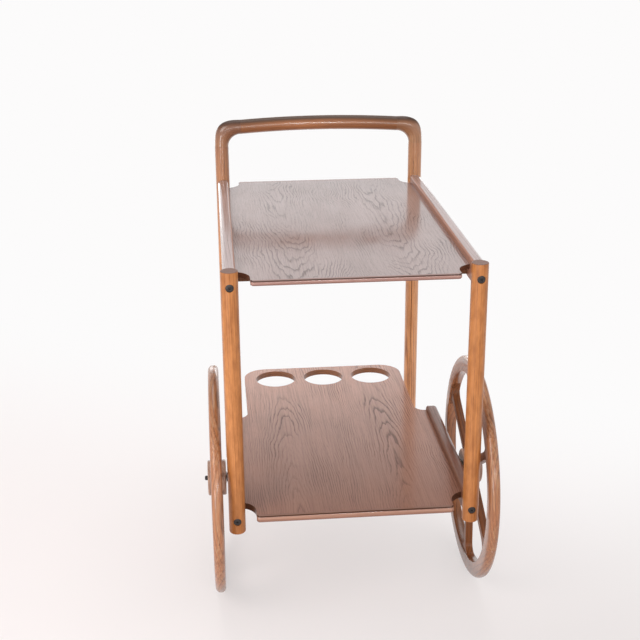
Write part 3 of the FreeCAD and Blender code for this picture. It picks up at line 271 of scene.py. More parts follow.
@dataclass(frozen=True)
class WoodFinish:
    """Stained wood under clear lacquer, with rings, pores and stain that varies."""

    name: str
    light: str
    dark: str
    pore: str
    grain: Grain
    cut: Cut = Cut.RIFT
    figure: CrownFigure = field(default_factory=CrownFigure)
    board_offsets: tuple[float, float, float] = (0.37, 0.61, 1.83)
    # A rift board: which way the log's heart lies, and how far its rings wander
    to_heart: tuple[float, float, float] = (0.78, 0.62, 0.012)
    ring_wander: float = 0.022
    # Early wood takes the stain in a narrow dark band, which fades into late wood
    ring_spacing: float = 0.0032
    ring_band: tuple[tuple[float, float], ...] = (
        (0.0, 0.9), (0.06, 1.0), (0.2, 0.35), (0.36, 0.0), (0.92, 0.0), (1.0, 0.9))
    ring_strength: float = 0.5
    faintest_in_veneer: float = 0.12
    faintest_in_board: float = 0.2
    # Marks between the rings
    streak_strength: float = 0.3
    pores_between_rings: float = 0.35
    pore_strength: float = 0.5
    stain_strength: float = 0.25
    mottle: float = 0.0
    tone: Tone | None = None
    # Edges: painted shade on an upper arris or along a groove, by how far the surface leans or faces inwards
    arris_shade: str | None = None
    arris_from: tuple[float, float] = (0.3, 0.75)
    arris_to: float = 1.0
    arris_blend: float = 0.02
    shade_on_flats: float = 0.3
    groove_shade: str | None = None
    groove_from: tuple[float, float] = (-0.05, -0.12)
    end_grain_over: float | None = None
    end_grain_blend: float = 0.0008
    end_grain: str = "7A5648"
    worn: str = "C9A583"
    worn_strength: float = 0.4
    # Lacquer, and what pores, wear, edges and open rings take from its shine
    roughness: float = 0.42
    roughness_spread: float = 0.07
    sheen_level: float = 0.25
    wood_ior: float = 1.52
    coat: float = 0.6
    coat_roughness: float = 0.18
    coat_roughness_spread: tuple[float, float] = (-0.04, 0.06)
    coat_ior: float = 1.5
    dulled_by_pores: float = 0.18
    dulled_by_wear: float = 0.2
    dulled_by_edges: float = 0.2
    stripped_by_wear: float = 0.7
    stripped_by_edges: float = 0.8
    sunk: float = 0.3
    relief: float = 0.12
    relief_depth: float = 0.0004

    def place(self, tree: bpy.types.NodeTree) -> bpy.types.NodeSocket:
        """The place in the board as a vector: across, depth and along the grain.

        Args:
            tree: the material's tree.

        Returns:
            The vector socket, in metres.
        """
        if self.grain is Grain.BOARD:
            own = add_node(tree, "ShaderNodeAttribute", attribute_name=GRAIN)
            board = add_node(tree, "ShaderNodeAttribute", attribute_name=BOARD)
            shift = add_node(tree, "ShaderNodeVectorMath",
                             {0: board.outputs["Vector"], 1: self.board_offsets}, operation="MULTIPLY")
            return add_node(tree, "ShaderNodeVectorMath", {0: own.outputs["Vector"], 1: shift.outputs[0]},
                            operation="ADD").outputs[0]
        spot = add_node(tree, "ShaderNodeTexCoord").outputs["Object"]
        parts = add_node(tree, "ShaderNodeSeparateXYZ", {0: spot}).outputs
        order = {Grain.ACROSS_CART: "YZX", Grain.ALONG_CART: "XZY", Grain.UPRIGHT: "XYZ"}[self.grain]
        return add_node(tree, "ShaderNodeCombineXYZ",
                        {i: parts[axis] for i, axis in enumerate(order)}).outputs[0]

    def log_radius(self, tree: bpy.types.NodeTree, place: bpy.types.NodeSocket) -> bpy.types.NodeSocket:
        """How far a place was from the log's heart, in metres, with the tree's own wander.

        Args:
            tree: the material's tree.
            place: the place in the board.

        Returns:
            The radius.
        """
        if self.cut is Cut.RIFT:
            lean = add_node(tree, "ShaderNodeVectorMath", {0: place, 1: self.to_heart},
                            operation="DOT_PRODUCT").outputs["Value"]
            return WoodMarks.wander.push(tree, place, lean, self.ring_wander)
        figure = self.figure
        shift = (figure.shift, figure.shift * figure.shift_in_depth_share, figure.shift_along)
        moved = add_node(tree, "ShaderNodeVectorMath", {0: place, 1: shift}, operation="ADD").outputs[0]
        parts = add_node(tree, "ShaderNodeSeparateXYZ", {0: place}).outputs
        side = add_node(tree, "ShaderNodeMath", {0: parts[0]}, operation="ABSOLUTE").outputs[0]
        heart = figure.leaf_offset + (figure.drift + figure.wiggle) / 2
        wide = add_node(tree, "ShaderNodeMath", {0: side, 1: heart}, operation="SUBTRACT").outputs[0]
        wide = WoodMarks.drift.push(tree, moved, wide, figure.drift)
        wide = WoodMarks.wiggle.push(tree, moved, wide, figure.wiggle)
        level = add_node(tree, "ShaderNodeMath", {0: parts[2], 1: figure.foot},
                         operation="SUBTRACT").outputs[0]
        deep = add_node(tree, "ShaderNodeMath", {0: level, 1: figure.taper, 2: figure.heart_depth},
                        operation="MULTIPLY_ADD").outputs[0]
        deep = WoodMarks.lift.push(tree, moved, deep, figure.lift)
        deep = WoodMarks.jag.push(tree, moved, deep, figure.jag)
        flat = add_node(tree, "ShaderNodeCombineXYZ", {0: wide, 1: deep}).outputs[0]
        return add_node(tree, "ShaderNodeVectorMath", {0: flat}, operation="LENGTH").outputs["Value"]

    def rings(self, tree: bpy.types.NodeTree, place: bpy.types.NodeSocket) -> bpy.types.NodeSocket:
        """Dark growth rings, fainter in places.

        Args:
            tree: the material's tree.
            place: the place in the board.

        Returns:
            Their strength, from 0 to 1.
        """
        turns = add_node(tree, "ShaderNodeMath", {0: self.log_radius(tree, place), 1: 1 / self.ring_spacing},
                         operation="MULTIPLY").outputs[0]
        ring = add_node(tree, "ShaderNodeMath", {0: turns}, operation="FRACT").outputs[0]
        band = set_ramp(add_node(tree, "ShaderNodeValToRGB", {0: ring}), self.ring_band)
        if self.cut is Cut.CROWN:
            strength = WoodMarks.veneer_faint.share(tree, place, self.faintest_in_veneer)
        else:
            strength = WoodMarks.board_faint.share(tree, place, self.faintest_in_board)
        return add_node(tree, "ShaderNodeMath", {0: band, 1: strength}, operation="MULTIPLY").outputs[0]

    def pores(self, tree: bpy.types.NodeTree, place: bpy.types.NodeSocket,
              rings: bpy.types.NodeSocket) -> bpy.types.NodeSocket:
        """Open pores, most of them in the rings.

        Args:
            tree: the material's tree.
            place: the place in the board.
            rings: the rings' strength.

        Returns:
            Their strength, from 0 to 1.
        """
        crowd = add_node(tree, "ShaderNodeMath", {0: rings, 1: 1 - self.pores_between_rings,
                                                  2: self.pores_between_rings},
                         operation="MULTIPLY_ADD").outputs[0]
        return add_node(tree, "ShaderNodeMath", {0: WoodMarks.pores.share(tree, place), 1: crowd},
                        operation="MULTIPLY").outputs[0]

    def ground(self, tree: bpy.types.NodeTree) -> bpy.types.NodeSocket | tuple[float, float, float, float]:
        """The stain between the dark figures, with its drift along the piece, which on most finishes is
        painted light and shade.

        Args:
            tree: the material's tree.

        Returns:
            A colour, or the socket that gives it.
        """
        if self.tone is None:
            return linear(self.light)
        spot = add_node(tree, "ShaderNodeTexCoord").outputs["Object"]
        way = add_node(tree, "ShaderNodeSeparateXYZ", {0: spot}).outputs[self.tone.axis]
        if self.tone.mirrored:
            way = add_node(tree, "ShaderNodeMath", {0: way}, operation="ABSOLUTE").outputs[0]
        share = add_node(tree, "ShaderNodeMapRange", {"Value": way, "From Min": self.tone.start,
                                                      "From Max": self.tone.stop}).outputs[0]
        return add_node(tree, "ShaderNodeMix", {0: share, 6: linear(self.light), 7: linear(self.tone.colour)},
                        data_type="RGBA").outputs[2]

    def stain(self, tree: bpy.types.NodeTree, place: bpy.types.NodeSocket,
              rings: bpy.types.NodeSocket) -> bpy.types.NodeSocket:
        """How much of the dark stain shows, from rings, pore rows, clouds and flecks.

        Args:
            tree: the material's tree.
            place: the place in the board.
            rings: the rings' strength.

        Returns:
            The share, from 0 to 1.
        """
        marks = [(rings, self.ring_strength), (WoodMarks.streaks.share(tree, place), self.streak_strength)]
        if self.mottle:
            marks.append((WoodMarks.flecks.share(tree, place), self.mottle))
        share = WoodMarks.clouds.share(tree, place, 0.0, self.stain_strength)
        for mark, strength in marks:
            share = add_node(tree, "ShaderNodeMath", {0: mark, 1: strength, 2: share},
                             operation="MULTIPLY_ADD", use_clamp=True).outputs[0]
        return share

    def edge(self, tree: bpy.types.NodeTree) -> bpy.types.NodeSocket | None:
        """Where shade is painted: on an upper arris, or on a rail's inner round along its groove.

        Args:
            tree: the material's tree.

        Returns:
            The share of edge colour, or nothing for a finish that has none.
        """
        if self.arris_shade is None and self.groove_shade is None:
            return None
        coords = add_node(tree, "ShaderNodeTexCoord").outputs
        facing = add_node(tree, "ShaderNodeSeparateXYZ", {0: coords["Normal"]}).outputs
        if self.arris_shade is not None:
            # An arris leans back; the flat beyond it keeps a little of the painted shade
            rising = add_node(tree, "ShaderNodeMapRange", {"Value": facing[2], "From Min": self.arris_from[0],
                                                           "From Max": self.arris_from[1]}).outputs[0]
            ending = add_node(tree, "ShaderNodeMapRange",
                              {"Value": facing[2], "From Min": self.arris_to - self.arris_blend,
                               "From Max": self.arris_to + self.arris_blend, "To Min": 1.0,
                               "To Max": self.shade_on_flats}).outputs[0]
            return add_node(tree, "ShaderNodeMath", {0: rising, 1: ending}, operation="MULTIPLY").outputs[0]
        # The inner round faces the cart's middle, so its normal and its place differ in sign
        beside = add_node(tree, "ShaderNodeSeparateXYZ", {0: coords["Object"]}).outputs[0]
        inward = add_node(tree, "ShaderNodeMath", {0: facing[0], 1: beside}, operation="MULTIPLY").outputs[0]
        return add_node(tree, "ShaderNodeMapRange", {"Value": inward, "From Min": self.groove_from[0],
                                                     "From Max": self.groove_from[1]}).outputs[0]

    def board_end(self, tree: bpy.types.NodeTree) -> bpy.types.NodeSocket:
        """The flat top of a post, whose end grain drinks the stain.

        Args:
            tree: the material's tree.

        Returns:
            1 on the top and 0 below it.
        """
        spot = add_node(tree, "ShaderNodeTexCoord").outputs["Object"]
        height = add_node(tree, "ShaderNodeSeparateXYZ", {0: spot}).outputs[2]
        return add_node(tree, "ShaderNodeMapRange",
                        {"Value": height, "From Min": self.end_grain_over - self.end_grain_blend,
                         "From Max": self.end_grain_over}).outputs[0]

    def bare(self, tree: bpy.types.NodeTree, place: bpy.types.NodeSocket) -> bpy.types.NodeSocket:
        """Patches where the lacquer is rubbed through, as the mesh marks its wear.

        Args:
            tree: the material's tree.
            place: the place in the board.

        Returns:
            How bare the wood is, from 0 to 1.
        """
        marked = add_node(tree, "ShaderNodeAttribute", attribute_name=WEAR).outputs["Fac"]
        return add_node(tree, "ShaderNodeMath", {0: marked, 1: WoodMarks.rubbed.share(tree, place)},
                        operation="MULTIPLY").outputs[0]

    def build(self) -> bpy.types.Material:
        """Make the material: colours laid over each other, then the lacquer.

        Returns:
            The finished material.
        """
        material = new_material(self.name)
        tree = material.node_tree
        place = self.place(tree)
        rings = self.rings(tree, place)
        pores = self.pores(tree, place, rings)
        edge = self.edge(tree)
        bare = self.bare(tree, place)
        # Each layer: where it lies, how strongly it covers, and its colour
        layers = [(self.stain(tree, place, rings), 1.0, self.dark), (pores, self.pore_strength, self.pore)]
        # Each mark: how much rougher it makes the wood, and how much coat it takes away
        marks = [(pores, self.dulled_by_pores, 0.0),
                 (bare, self.dulled_by_wear, self.stripped_by_wear * self.coat)]
        if edge is not None:
            # Painted shade on the upper arris, or on the inner round along the groove
            layers.append((edge, 1.0, self.arris_shade or self.groove_shade))
            marks.append((edge, self.dulled_by_edges, self.stripped_by_edges * self.coat))
        if self.end_grain_over is not None:
            layers.append((self.board_end(tree), 1.0, self.end_grain))
        if self.cut is Cut.CROWN:
            marks.append((rings, 0.0, self.sunk))
        layers.append((bare, self.worn_strength, self.worn))
        colour = self.ground(tree)
        for where, strength, over in layers:
            share = add_node(tree, "ShaderNodeMath", {0: where, 1: strength}, operation="MULTIPLY").outputs[0]
            colour = add_node(tree, "ShaderNodeMix", {0: share, 6: colour, 7: linear(over)},
                              data_type="RGBA").outputs[2]
        rough = WoodMarks.dulled.share(tree, place, self.roughness - self.roughness_spread,
                                       self.roughness + self.roughness_spread)
        coat = self.coat
        for mark, rougher, less in marks:
            rough = add_node(tree, "ShaderNodeMath", {0: mark, 1: rougher, 2: rough},
                             operation="MULTIPLY_ADD").outputs[0]
            coat = add_node(tree, "ShaderNodeMath", {0: mark, 1: -less, 2: coat},
                            operation="MULTIPLY_ADD", use_clamp=True).outputs[0]
        smoothest, roughest = (self.coat_roughness + spread for spread in self.coat_roughness_spread)
        coat_rough = WoodMarks.levelled.share(tree, place, smoothest, roughest)
        height = add_node(tree, "ShaderNodeMath", {0: 1.0, 1: pores}, operation="SUBTRACT").outputs[0]
        relief = add_node(tree, "ShaderNodeBump", {"Strength": self.relief, "Distance": self.relief_depth,
                                                   "Height": height})
        shader = add_node(tree, "ShaderNodeBsdfPrincipled",
                          {"Base Color": colour, "Roughness": rough, "IOR": self.wood_ior,
                           "Specular IOR Level": self.sheen_level, "Coat Weight": coat,
                           "Coat Roughness": coat_rough, "Coat IOR": self.coat_ior,
                           "Normal": relief.outputs[0]})
        add_node(tree, "ShaderNodeOutputMaterial", {"Surface": shader.outputs[0]})
        return material


@dataclass(frozen=True)
class PlainFinish:
    """Metal or plastic with fine scuffs, mottled colour and a little relief."""

    name: str
    colour: str
    worn: str
    metallic: float
    roughness: float
    scuffs_per_metre: float
    ior: float = 1.5
    scuff_octaves: float = 4.0
    mottle_octaves: float = 2.0
    noise_from: tuple[float, float] = (0.3, 0.7)
    wear: float = 0.5
    scuffs_and_shade_from: tuple[float, float] = (0.5, 0.78)
    scuffs_to_a_mottle: float = 9.0
    mottle: float = 0.3
    roughness_spread: tuple[float, float] = (-0.08, 0.12)
    relief: float = 0.1
    relief_depth: float = 0.0002

    def build(self) -> bpy.types.Material:
        """Make the material.

        Returns:
            The finished material.
        """
        material = new_material(self.name)
        tree = material.node_tree
        spot = add_node(tree, "ShaderNodeTexCoord").outputs["Object"]
        fine = add_node(tree, "ShaderNodeTexNoise", {"Vector": spot, "Scale": self.scuffs_per_metre,
                                                     "Detail": self.scuff_octaves}).outputs[0]
        mottles_per_metre = self.scuffs_per_metre / self.scuffs_to_a_mottle
        broad = add_node(tree, "ShaderNodeTexNoise", {"Vector": spot, "Scale": mottles_per_metre,
                                                      "Detail": self.mottle_octaves}).outputs[0]
        scuffs_and_shade = add_node(tree, "ShaderNodeMapRange", {"Value": fine, "From Min": self.scuffs_and_shade_from[0],
                                                        "From Max": self.scuffs_and_shade_from[1],
                                                        "To Max": self.wear}).outputs[0]
        mottled = add_node(tree, "ShaderNodeMath", {0: broad, 1: self.mottle, 2: scuffs_and_shade},
                           operation="MULTIPLY_ADD", use_clamp=True).outputs[0]
        colour = add_node(tree, "ShaderNodeMix", {0: mottled, 6: linear(self.colour), 7: linear(self.worn)},
                          data_type="RGBA").outputs[2]
        smoothest, roughest = (self.roughness + spread for spread in self.roughness_spread)
        rough = add_node(tree, "ShaderNodeMapRange", {"Value": fine, "From Min": self.noise_from[0],
                                                      "From Max": self.noise_from[1], "To Min": smoothest,
                                                      "To Max": roughest}).outputs[0]
        relief = add_node(tree, "ShaderNodeBump", {"Strength": self.relief, "Distance": self.relief_depth,
                                                   "Height": fine})
        inputs = {"Base Color": colour, "Roughness": rough, "Metallic": self.metallic,
                  "Normal": relief.outputs[0]}
        if self.metallic == 0:
            inputs["IOR"] = self.ior
        shader = add_node(tree, "ShaderNodeBsdfPrincipled", inputs)
        add_node(tree, "ShaderNodeOutputMaterial", {"Surface": shader.outputs[0]})
        return material


class FinishBook:
    """Every finish of the cart, each made once."""

    # Turned oak posts, stained honey brown and sprayed with satin lacquer
    uprights = WoodFinish("oak_turned_satin_lacquer", "CC874E", "94582C", "5F3716", Grain.UPRIGHT,
                          ring_spacing=0.0052, ring_strength=0.3, streak_strength=0.28, coat=0.28, mottle=0.4,
                          tone=Tone("A5652F", 2, 0.3, 0.15), coat_roughness=0.22, end_grain_over=0.6897)
    # The turned legs carry the handle; lighter at mid height and browner towards the top as painted light and
    # shade, the right one painted lighter than the left
    left_leg = WoodFinish("oak_leg_satin_lacquer_left", "DE9A66", "8C5636", "4B2B16", Grain.UPRIGHT,
                          ring_spacing=0.005, ring_strength=0.6, streak_strength=0.42, mottle=0.15, coat=0.9,
                          coat_roughness=0.08, tone=Tone("A07052", 2, 0.6, 0.772))
    right_leg_painted_lighter = replace(left_leg, name="oak_leg_satin_lacquer_right", light="F2AC70", dark="9C623E",
                        tone=Tone("BA8864", 2, 0.6, 0.772))
    legs = {"left": left_leg, "right": right_leg_painted_lighter}
    # Shaped oak grip, rubbed smooth by hands; a painted highlight in the middle, darker towards the ends, and
    # painted shade along its top
    grip = WoodFinish("oak_shaped_rubbed_lacquer", "B0724A", "784C32", "46280F", Grain.ACROSS_CART,
                      ring_spacing=0.005, mottle=0.25, coat=1.0, coat_roughness=0.06, roughness=0.36,
                      tone=Tone("965E38", 0, 0.04, 0.15, True), arris_shade="503A2E")
    # Carved corners, darker than the legs and darker towards the top of the bend as painted shade, with
    # painted shade along the top; the right one painted lighter than the left
    left_corner = WoodFinish("oak_carved_rubbed_lacquer_left", "AA7856", "764C34", "45291A", Grain.BOARD,
                             ring_spacing=0.005, ring_strength=0.6, streak_strength=0.42, mottle=0.2,
                             coat=0.95, coat_roughness=0.09, roughness=0.36,
                             tone=Tone("845840", 2, 0.772, 0.8), arris_shade="4A342A")
    right_corner_painted_lighter = replace(left_corner, name="oak_carved_rubbed_lacquer_right", light="BE8A62", dark="865A3C",
                           tone=Tone("966648", 2, 0.772, 0.8))
    corners = {"left": left_corner, "right": right_corner_painted_lighter}
    # Planed oak rails with routed rounds under a hard lacquer that mirrors; their greyish pink is partly
    # brown stain and partly a painted reflection of the pale studio, with painted shade on the inner round
    # along the tray
    upper_rails = WoodFinish("oak_planed_satin_lacquer", "B69C98", "5E4036", "41261A", Grain.ALONG_CART,
                             ring_spacing=0.005, coat=1.0, coat_roughness=0.16, coat_ior=1.74,
                             groove_shade="A2705A")
    # The lower rails: browner stain without the painted reflection, under a thinner satin coat, with painted
    # shade on the inner round
    lower_rails = WoodFinish("oak_lower_rail_satin_lacquer", "8A5844", "60392A", "41261A", Grain.ALONG_CART,
                             ring_spacing=0.005, coat=0.8, coat_roughness=0.16, coat_ior=1.6, groove_shade="7A4E38")
    # Crown-cut oak veneer, dark stained, under a glossy catalysed lacquer that mirrors at low angles
    upper_figure = CrownFigure(taper=-0.06, foot=0.36, drift=0.06, wiggle=0.016, lift=0.045, jag=0.006,
                               shift=0.35)
    upper_veneer = WoodFinish("oak_veneer_gloss_lacquer_upper", "9E8580", "5E443E", "44281E",
                              Grain.ALONG_CART, Cut.CROWN, upper_figure, ring_spacing=0.0044,
                              ring_strength=0.8, coat=0.97, coat_roughness=0.12, coat_ior=1.72,
                              roughness=0.35, relief=0.08)
    lower_figure = CrownFigure(taper=0.06, drift=0.03, wiggle=0.01, lift=0.022, jag=0.0045, shift=0.6)
    # The lower veneer darkens towards the front as painted shade from the upper tray above it
    lower_veneer = WoodFinish("oak_veneer_gloss_lacquer_lower", "C6917A", "744834", "40261B",
                              Grain.ALONG_CART, Cut.CROWN, lower_figure, ring_spacing=0.004,
                              ring_strength=0.75, tone=Tone("9E6C56", 1, 0.1, -0.33), coat=0.92,
                              coat_roughness=0.15, coat_ior=1.49, roughness=0.38, relief=0.08)
    # Solid oak lippings under gloss lacquer, stained redder on their open grain; a painted highlight at the
    # top of the face, and painted shade towards its bottom and on the arris
    upper_lipping = WoodFinish("oak_lipping_gloss_lacquer_upper", "AE8478", "82584C", "4A281A",
                               Grain.ACROSS_CART, tone=Tone("7A5044", 2, 0.6725, 0.669), coat=1.0,
                               coat_roughness=0.09, coat_ior=1.6, arris_shade="3E2016", arris_to=0.96)
    lower_lipping = WoodFinish("oak_lipping_gloss_lacquer_lower", "B4866E", "885A48", "4A281A",
                               Grain.ACROSS_CART, tone=Tone("805440", 2, 0.2275, 0.222), coat=1.0,
                               coat_roughness=0.09, coat_ior=1.6, arris_shade="3E2016", arris_to=0.96)
    # Cut panel edges: dark towards the front, partly painted shade in the notches, and orange brown towards
    # the back round the bottle holes
    panel_edges = WoodFinish("oak_panel_edge_lacquer", "6A4532", "44291C", "2A1810", Grain.ACROSS_CART,
                             coat=0.7, coat_roughness=0.15, tone=Tone("965E38", 1, 0.0, 0.12))
    # Bandsawn and moulded wheel boards, stained mid brown, the rims darker towards the bottom as painted
    # shade
    rims = WoodFinish("oak_rim_moulded_lacquer", "B27248", "6E4226", "3A2010", Grain.BOARD,
                      tone=Tone("744014", 2, 0.085, 0.035), ring_spacing=0.006, ring_strength=0.6,
                      stain_strength=0.4, coat=1.0, coat_roughness=0.2, coat_ior=1.55)
    # The spokes are a darker brown than the rims, painted shade inside the wheel
    spokes = WoodFinish("oak_spoke_shaped_lacquer", "8A5028", "583018", "38200F", Grain.BOARD,
                        ring_spacing=0.006, stain_strength=0.4, coat=0.2, coat_roughness=0.24)
    # Turned hub discs
    hubs = WoodFinish("oak_hub_turned_lacquer", "B08A74", "705248", "38241C", Grain.UPRIGHT,
                      ring_spacing=0.004, coat_roughness=0.18)
    # Sawn beech cleats with a thin wash of stain and no lacquer
    cleats = WoodFinish("beech_sawn_stained", "7A5137", "573725", "3A2418", Grain.ACROSS_CART,
                        ring_strength=0.3, coat=0.0, roughness=0.6)
    # Bare turned beech pins
    dowels = WoodFinish("beech_turned_bare", "D9B98F", "B8925F", "8A6840", Grain.UPRIGHT,
                        ring_strength=0.25, coat=0.0, roughness=0.6)
    # Steel, black-oxidised and oiled: dark slate with a dull shine and greyer scuffs 1.1 mm apart
    black_steel = PlainFinish("steel_black_oxide", "343032", "6E6A66", 0.8, 0.32, 900.0)
    # Steel, zinc-plated: pale grey with a soft shine that dulls in spots
    zinc_steel = PlainFinish("steel_zinc_plated", "B9B9B4", "8F8F8C", 1.0, 0.35, 700.0)
    # Brass, turned: warm yellow, browner where it tarnished
    brass = PlainFinish("brass_turned", "C8A35B", "8C6C35", 1.0, 0.3, 700.0)
    # Nylon, turned: milky and half dull
    nylon = PlainFinish("nylon_turned", "DAD6CA", "B8B2A4", 0.0, 0.5, 500.0, 1.53)
    # Polypropylene, moulded in brown: dull, greyer where the floor scuffs it
    glide = PlainFinish("polypropylene_moulded_brown", "2F2621", "4A3F38", 0.0, 0.5, 600.0, 1.49)

    def __init__(self) -> None:
        """Start with no material made."""
        self.made: dict[str, bpy.types.Material] = {}

    def get(self, finish: WoodFinish | PlainFinish) -> bpy.types.Material:
        """The material of a finish, made at its first use.

        Args:
            finish: the finish.

        Returns:
            Its material.
        """
        if finish.name not in self.made:
            self.made[finish.name] = finish.build()
        return self.made[finish.name]


class Workshop:
    """Dresses carried-over nodes and hangs new pieces on their bodies."""

    def __init__(self, nodes: dict[str, bpy.types.Object], record: dict) -> None:
        """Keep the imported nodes.

        Args:
            nodes: the CAD nodes by name.
            record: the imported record, for bodies and material slots.
        """
        self.nodes = nodes
        self.finishes = FinishBook()
        self.slots = {row["node"]: row["material_slot"] for row in record["subparts"]}
        self.body_of = {n: b for b, members in record["behaviour"]["bodies"].items() for n in members}

    def dress(self, names: Iterable[str], finish: WoodFinish | PlainFinish) -> None:
        """Give CAD nodes a finish in their own material slots.

        Args:
            names: the nodes.
            finish: what they are finished with.
        """
        for name in names:
            self.nodes[name].material_slots[0].material = self.finishes.get(finish)
            log.info("dressed %s with %s", name, finish.name)

    def hang(self, piece: bpy.types.Object, *replaced: str) -> bpy.types.Object:
        """Make a piece stand for CAD nodes, with their body and slot.

        Args:
            piece: the finished object, at the origin.
            replaced: the nodes that it stands for, first the one that names body and slot.

        Returns:
            The piece.
        """
        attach(piece, self.body_of[replaced[0]])
        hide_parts(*replaced)
        log.info("made %s with %d faces for %s", piece.name, len(piece.data.polygons), ", ".join(replaced))
        return piece

    def new_object(self, name: str, mesh: bpy.types.Mesh) -> bpy.types.Object:
        """Link a mesh into the scene at the origin.

        Args:
            name: the object's name.
            mesh: its mesh.

        Returns:
            The new object.
        """
        piece = bpy.data.objects.new(name, mesh)
        bpy.context.scene.collection.objects.link(piece)
        return piece

    def eased_copy(self, name: str, node: str, finish: WoodFinish, ease: float,
                   grain: Callable[[Vector], Vector] | None = None,
                   sharp_deg: float = 50.0) -> bpy.types.Object:
        """A copy of a node with its sharp edges eased as sandpaper leaves them.

        Args:
            name: the new piece's name.
            node: the CAD node that it copies.
            finish: its wood finish.
            ease: width of the easing, in metres.
            grain: turns a place into across, depth and along the board, where the grain bends.
            sharp_deg: edges that turn by more than this are eased.

        Returns:
            The piece, not yet hung.
        """
        form = bmesh.new()
        form.from_mesh(self.nodes[node].data)
        bmesh.ops.remove_doubles(form, verts=form.verts, dist=2 * HAIR)
        bmesh.ops.dissolve_limit(form, angle_limit=math.radians(FLAT_DEG), verts=form.verts, edges=form.edges)
        form.verts.index_update()
        # The copy takes points and faces alone, and no stored normals with them
        mesh = bpy.data.meshes.new(name)
        mesh.from_pydata([vertex.co[:] for vertex in form.verts], [],
                         [[vertex.index for vertex in face.verts] for face in form.faces])
        form.free()
        mesh.shade_smooth()
        mesh.set_sharp_from_angle(angle=math.radians(sharp_deg))
        if grain is not None:
            mark_grain(mesh, grain)
        mesh.materials.append(self.finishes.get(finish))
        piece = self.new_object(name, mesh)
        bevel = piece.modifiers.new("eased_edges", "BEVEL")
        bevel.width = ease
        bevel.segments = 2
        bevel.limit_method = "ANGLE"
        bevel.angle_limit = math.radians(sharp_deg)
        bevel.harden_normals = True
        return piece


def mark_grain(mesh: bpy.types.Mesh, grain: Callable[[Vector], Vector]) -> None:
    """Write each point's place in its board on the mesh.

    Args:
        mesh: the mesh.
        grain: turns a place into across, depth and along the board.
    """
    layer = mesh.attributes.new(GRAIN, "FLOAT_VECTOR", "POINT")
    for index, vertex in enumerate(mesh.vertices):
        layer.data[index].vector = grain(vertex.co)


@dataclass
class Uprights:
    """Front posts, rear legs and their glides."""

    leg_ease: float = 0.0005

    def make(self, shop: Workshop) -> None:
        """Dress the posts and glides, and ease the legs at their joint with the handle.

        Args:
            shop: the workshop.
        """
        shop.dress(["front_post_left", "front_post_right"], FinishBook.uprights)
        for side in ("left", "right"):
            leg = shop.eased_copy(f"leg_turned_{side}", f"rear_leg_{side}", FinishBook.legs[side],
                                  self.leg_ease)
            shop.hang(leg, f"rear_leg_{side}")
        shop.dress(["leg_glides"], FinishBook.glide)


@dataclass
class Handle:
    """The grip and the two bent corners, with their glue lines."""

    leg_x: float = 0.215
    corner_radius: float = 0.034
    bend_foot: float = 0.7703
    ease: float = 0.0006
    sharp_deg: float = 60.0

    def corner_grain(self, spot: Vector) -> Vector:
        """Carry the leg's grain on round the bend.

        Args:
            spot: a place on the corner.

        Returns:
            Its place across, through and along the bent board.
        """
        side = math.copysign(1, spot.x)
        pivot_x = self.leg_x - self.corner_radius
        x = abs(spot.x) - pivot_x
        z = spot.z - self.bend_foot
        if z <= 0:
            return Vector((spot.x, spot.y, spot.z))
        if x < 0:
            along = self.bend_foot + self.corner_radius * math.pi / 2 - x
            return Vector((side * (pivot_x + z), spot.y, along))
        along = self.bend_foot + self.corner_radius * math.atan2(z, x)
        return Vector((side * (pivot_x + math.hypot(x, z)), spot.y, along))

    def make(self, shop: Workshop) -> None:
        """Make the corners and the grip, and dress the dowels that join the frame.

        Args:
            shop: the workshop.
        """
        for side in ("left", "right"):
            corner = shop.eased_copy(f"handle_bend_{side}", f"handle_corner_{side}", FinishBook.corners[side],
                                     self.ease, self.corner_grain, self.sharp_deg)
            shop.hang(corner, f"handle_corner_{side}")
        grip = shop.eased_copy("handle_bar", "handle_grip", FinishBook.grip, self.ease,
                               sharp_deg=self.sharp_deg)
        shop.hang(grip, "handle_grip")
        shop.dress(["handle_dowels", "rail_dowels", "cleat_dowels"], FinishBook.dowels)


@dataclass
class Trays:
    """Both tray panels with veneered faces and solid edges, their lippings and cleats."""

    ease: float = 0.0009
    veneered_from: float = 0.5

    def panel(self, shop: Workshop, node: str, veneer: WoodFinish) -> None:
        """Make one panel, with veneer above and below and solid wood round its edge.

        Args:
            shop: the workshop.
            node: the tray's node.
            veneer: the finish of its faces.
        """
        piece = shop.eased_copy(f"{node}_panel", node, veneer, self.ease)
        piece.data.materials.append(shop.finishes.get(FinishBook.panel_edges))
        for face in piece.data.polygons:
            face.material_index = 0 if abs(face.normal.z) > self.veneered_from else 1
        shop.hang(piece, node)

    def make(self, shop: Workshop) -> None:
        """Make the panels and dress what edges and carries them.

        Args:
            shop: the workshop.
        """
        self.panel(shop, "upper_tray", FinishBook.upper_veneer)
        self.panel(shop, "lower_tray", FinishBook.lower_veneer)
        shop.dress(["upper_front_lip", "upper_rear_lip"], FinishBook.upper_lipping)
        shop.dress(["lower_front_lip"], FinishBook.lower_lipping)
        shop.dress(["upper_cleat_front", "upper_cleat_rear", "lower_cleat_front", "lower_cleat_rear"],
                   FinishBook.cleats)
        shop.dress(["upper_rail_left", "upper_rail_right"], FinishBook.upper_rails)
        shop.dress(["lower_rail_left", "lower_rail_right"], FinishBook.lower_rails)


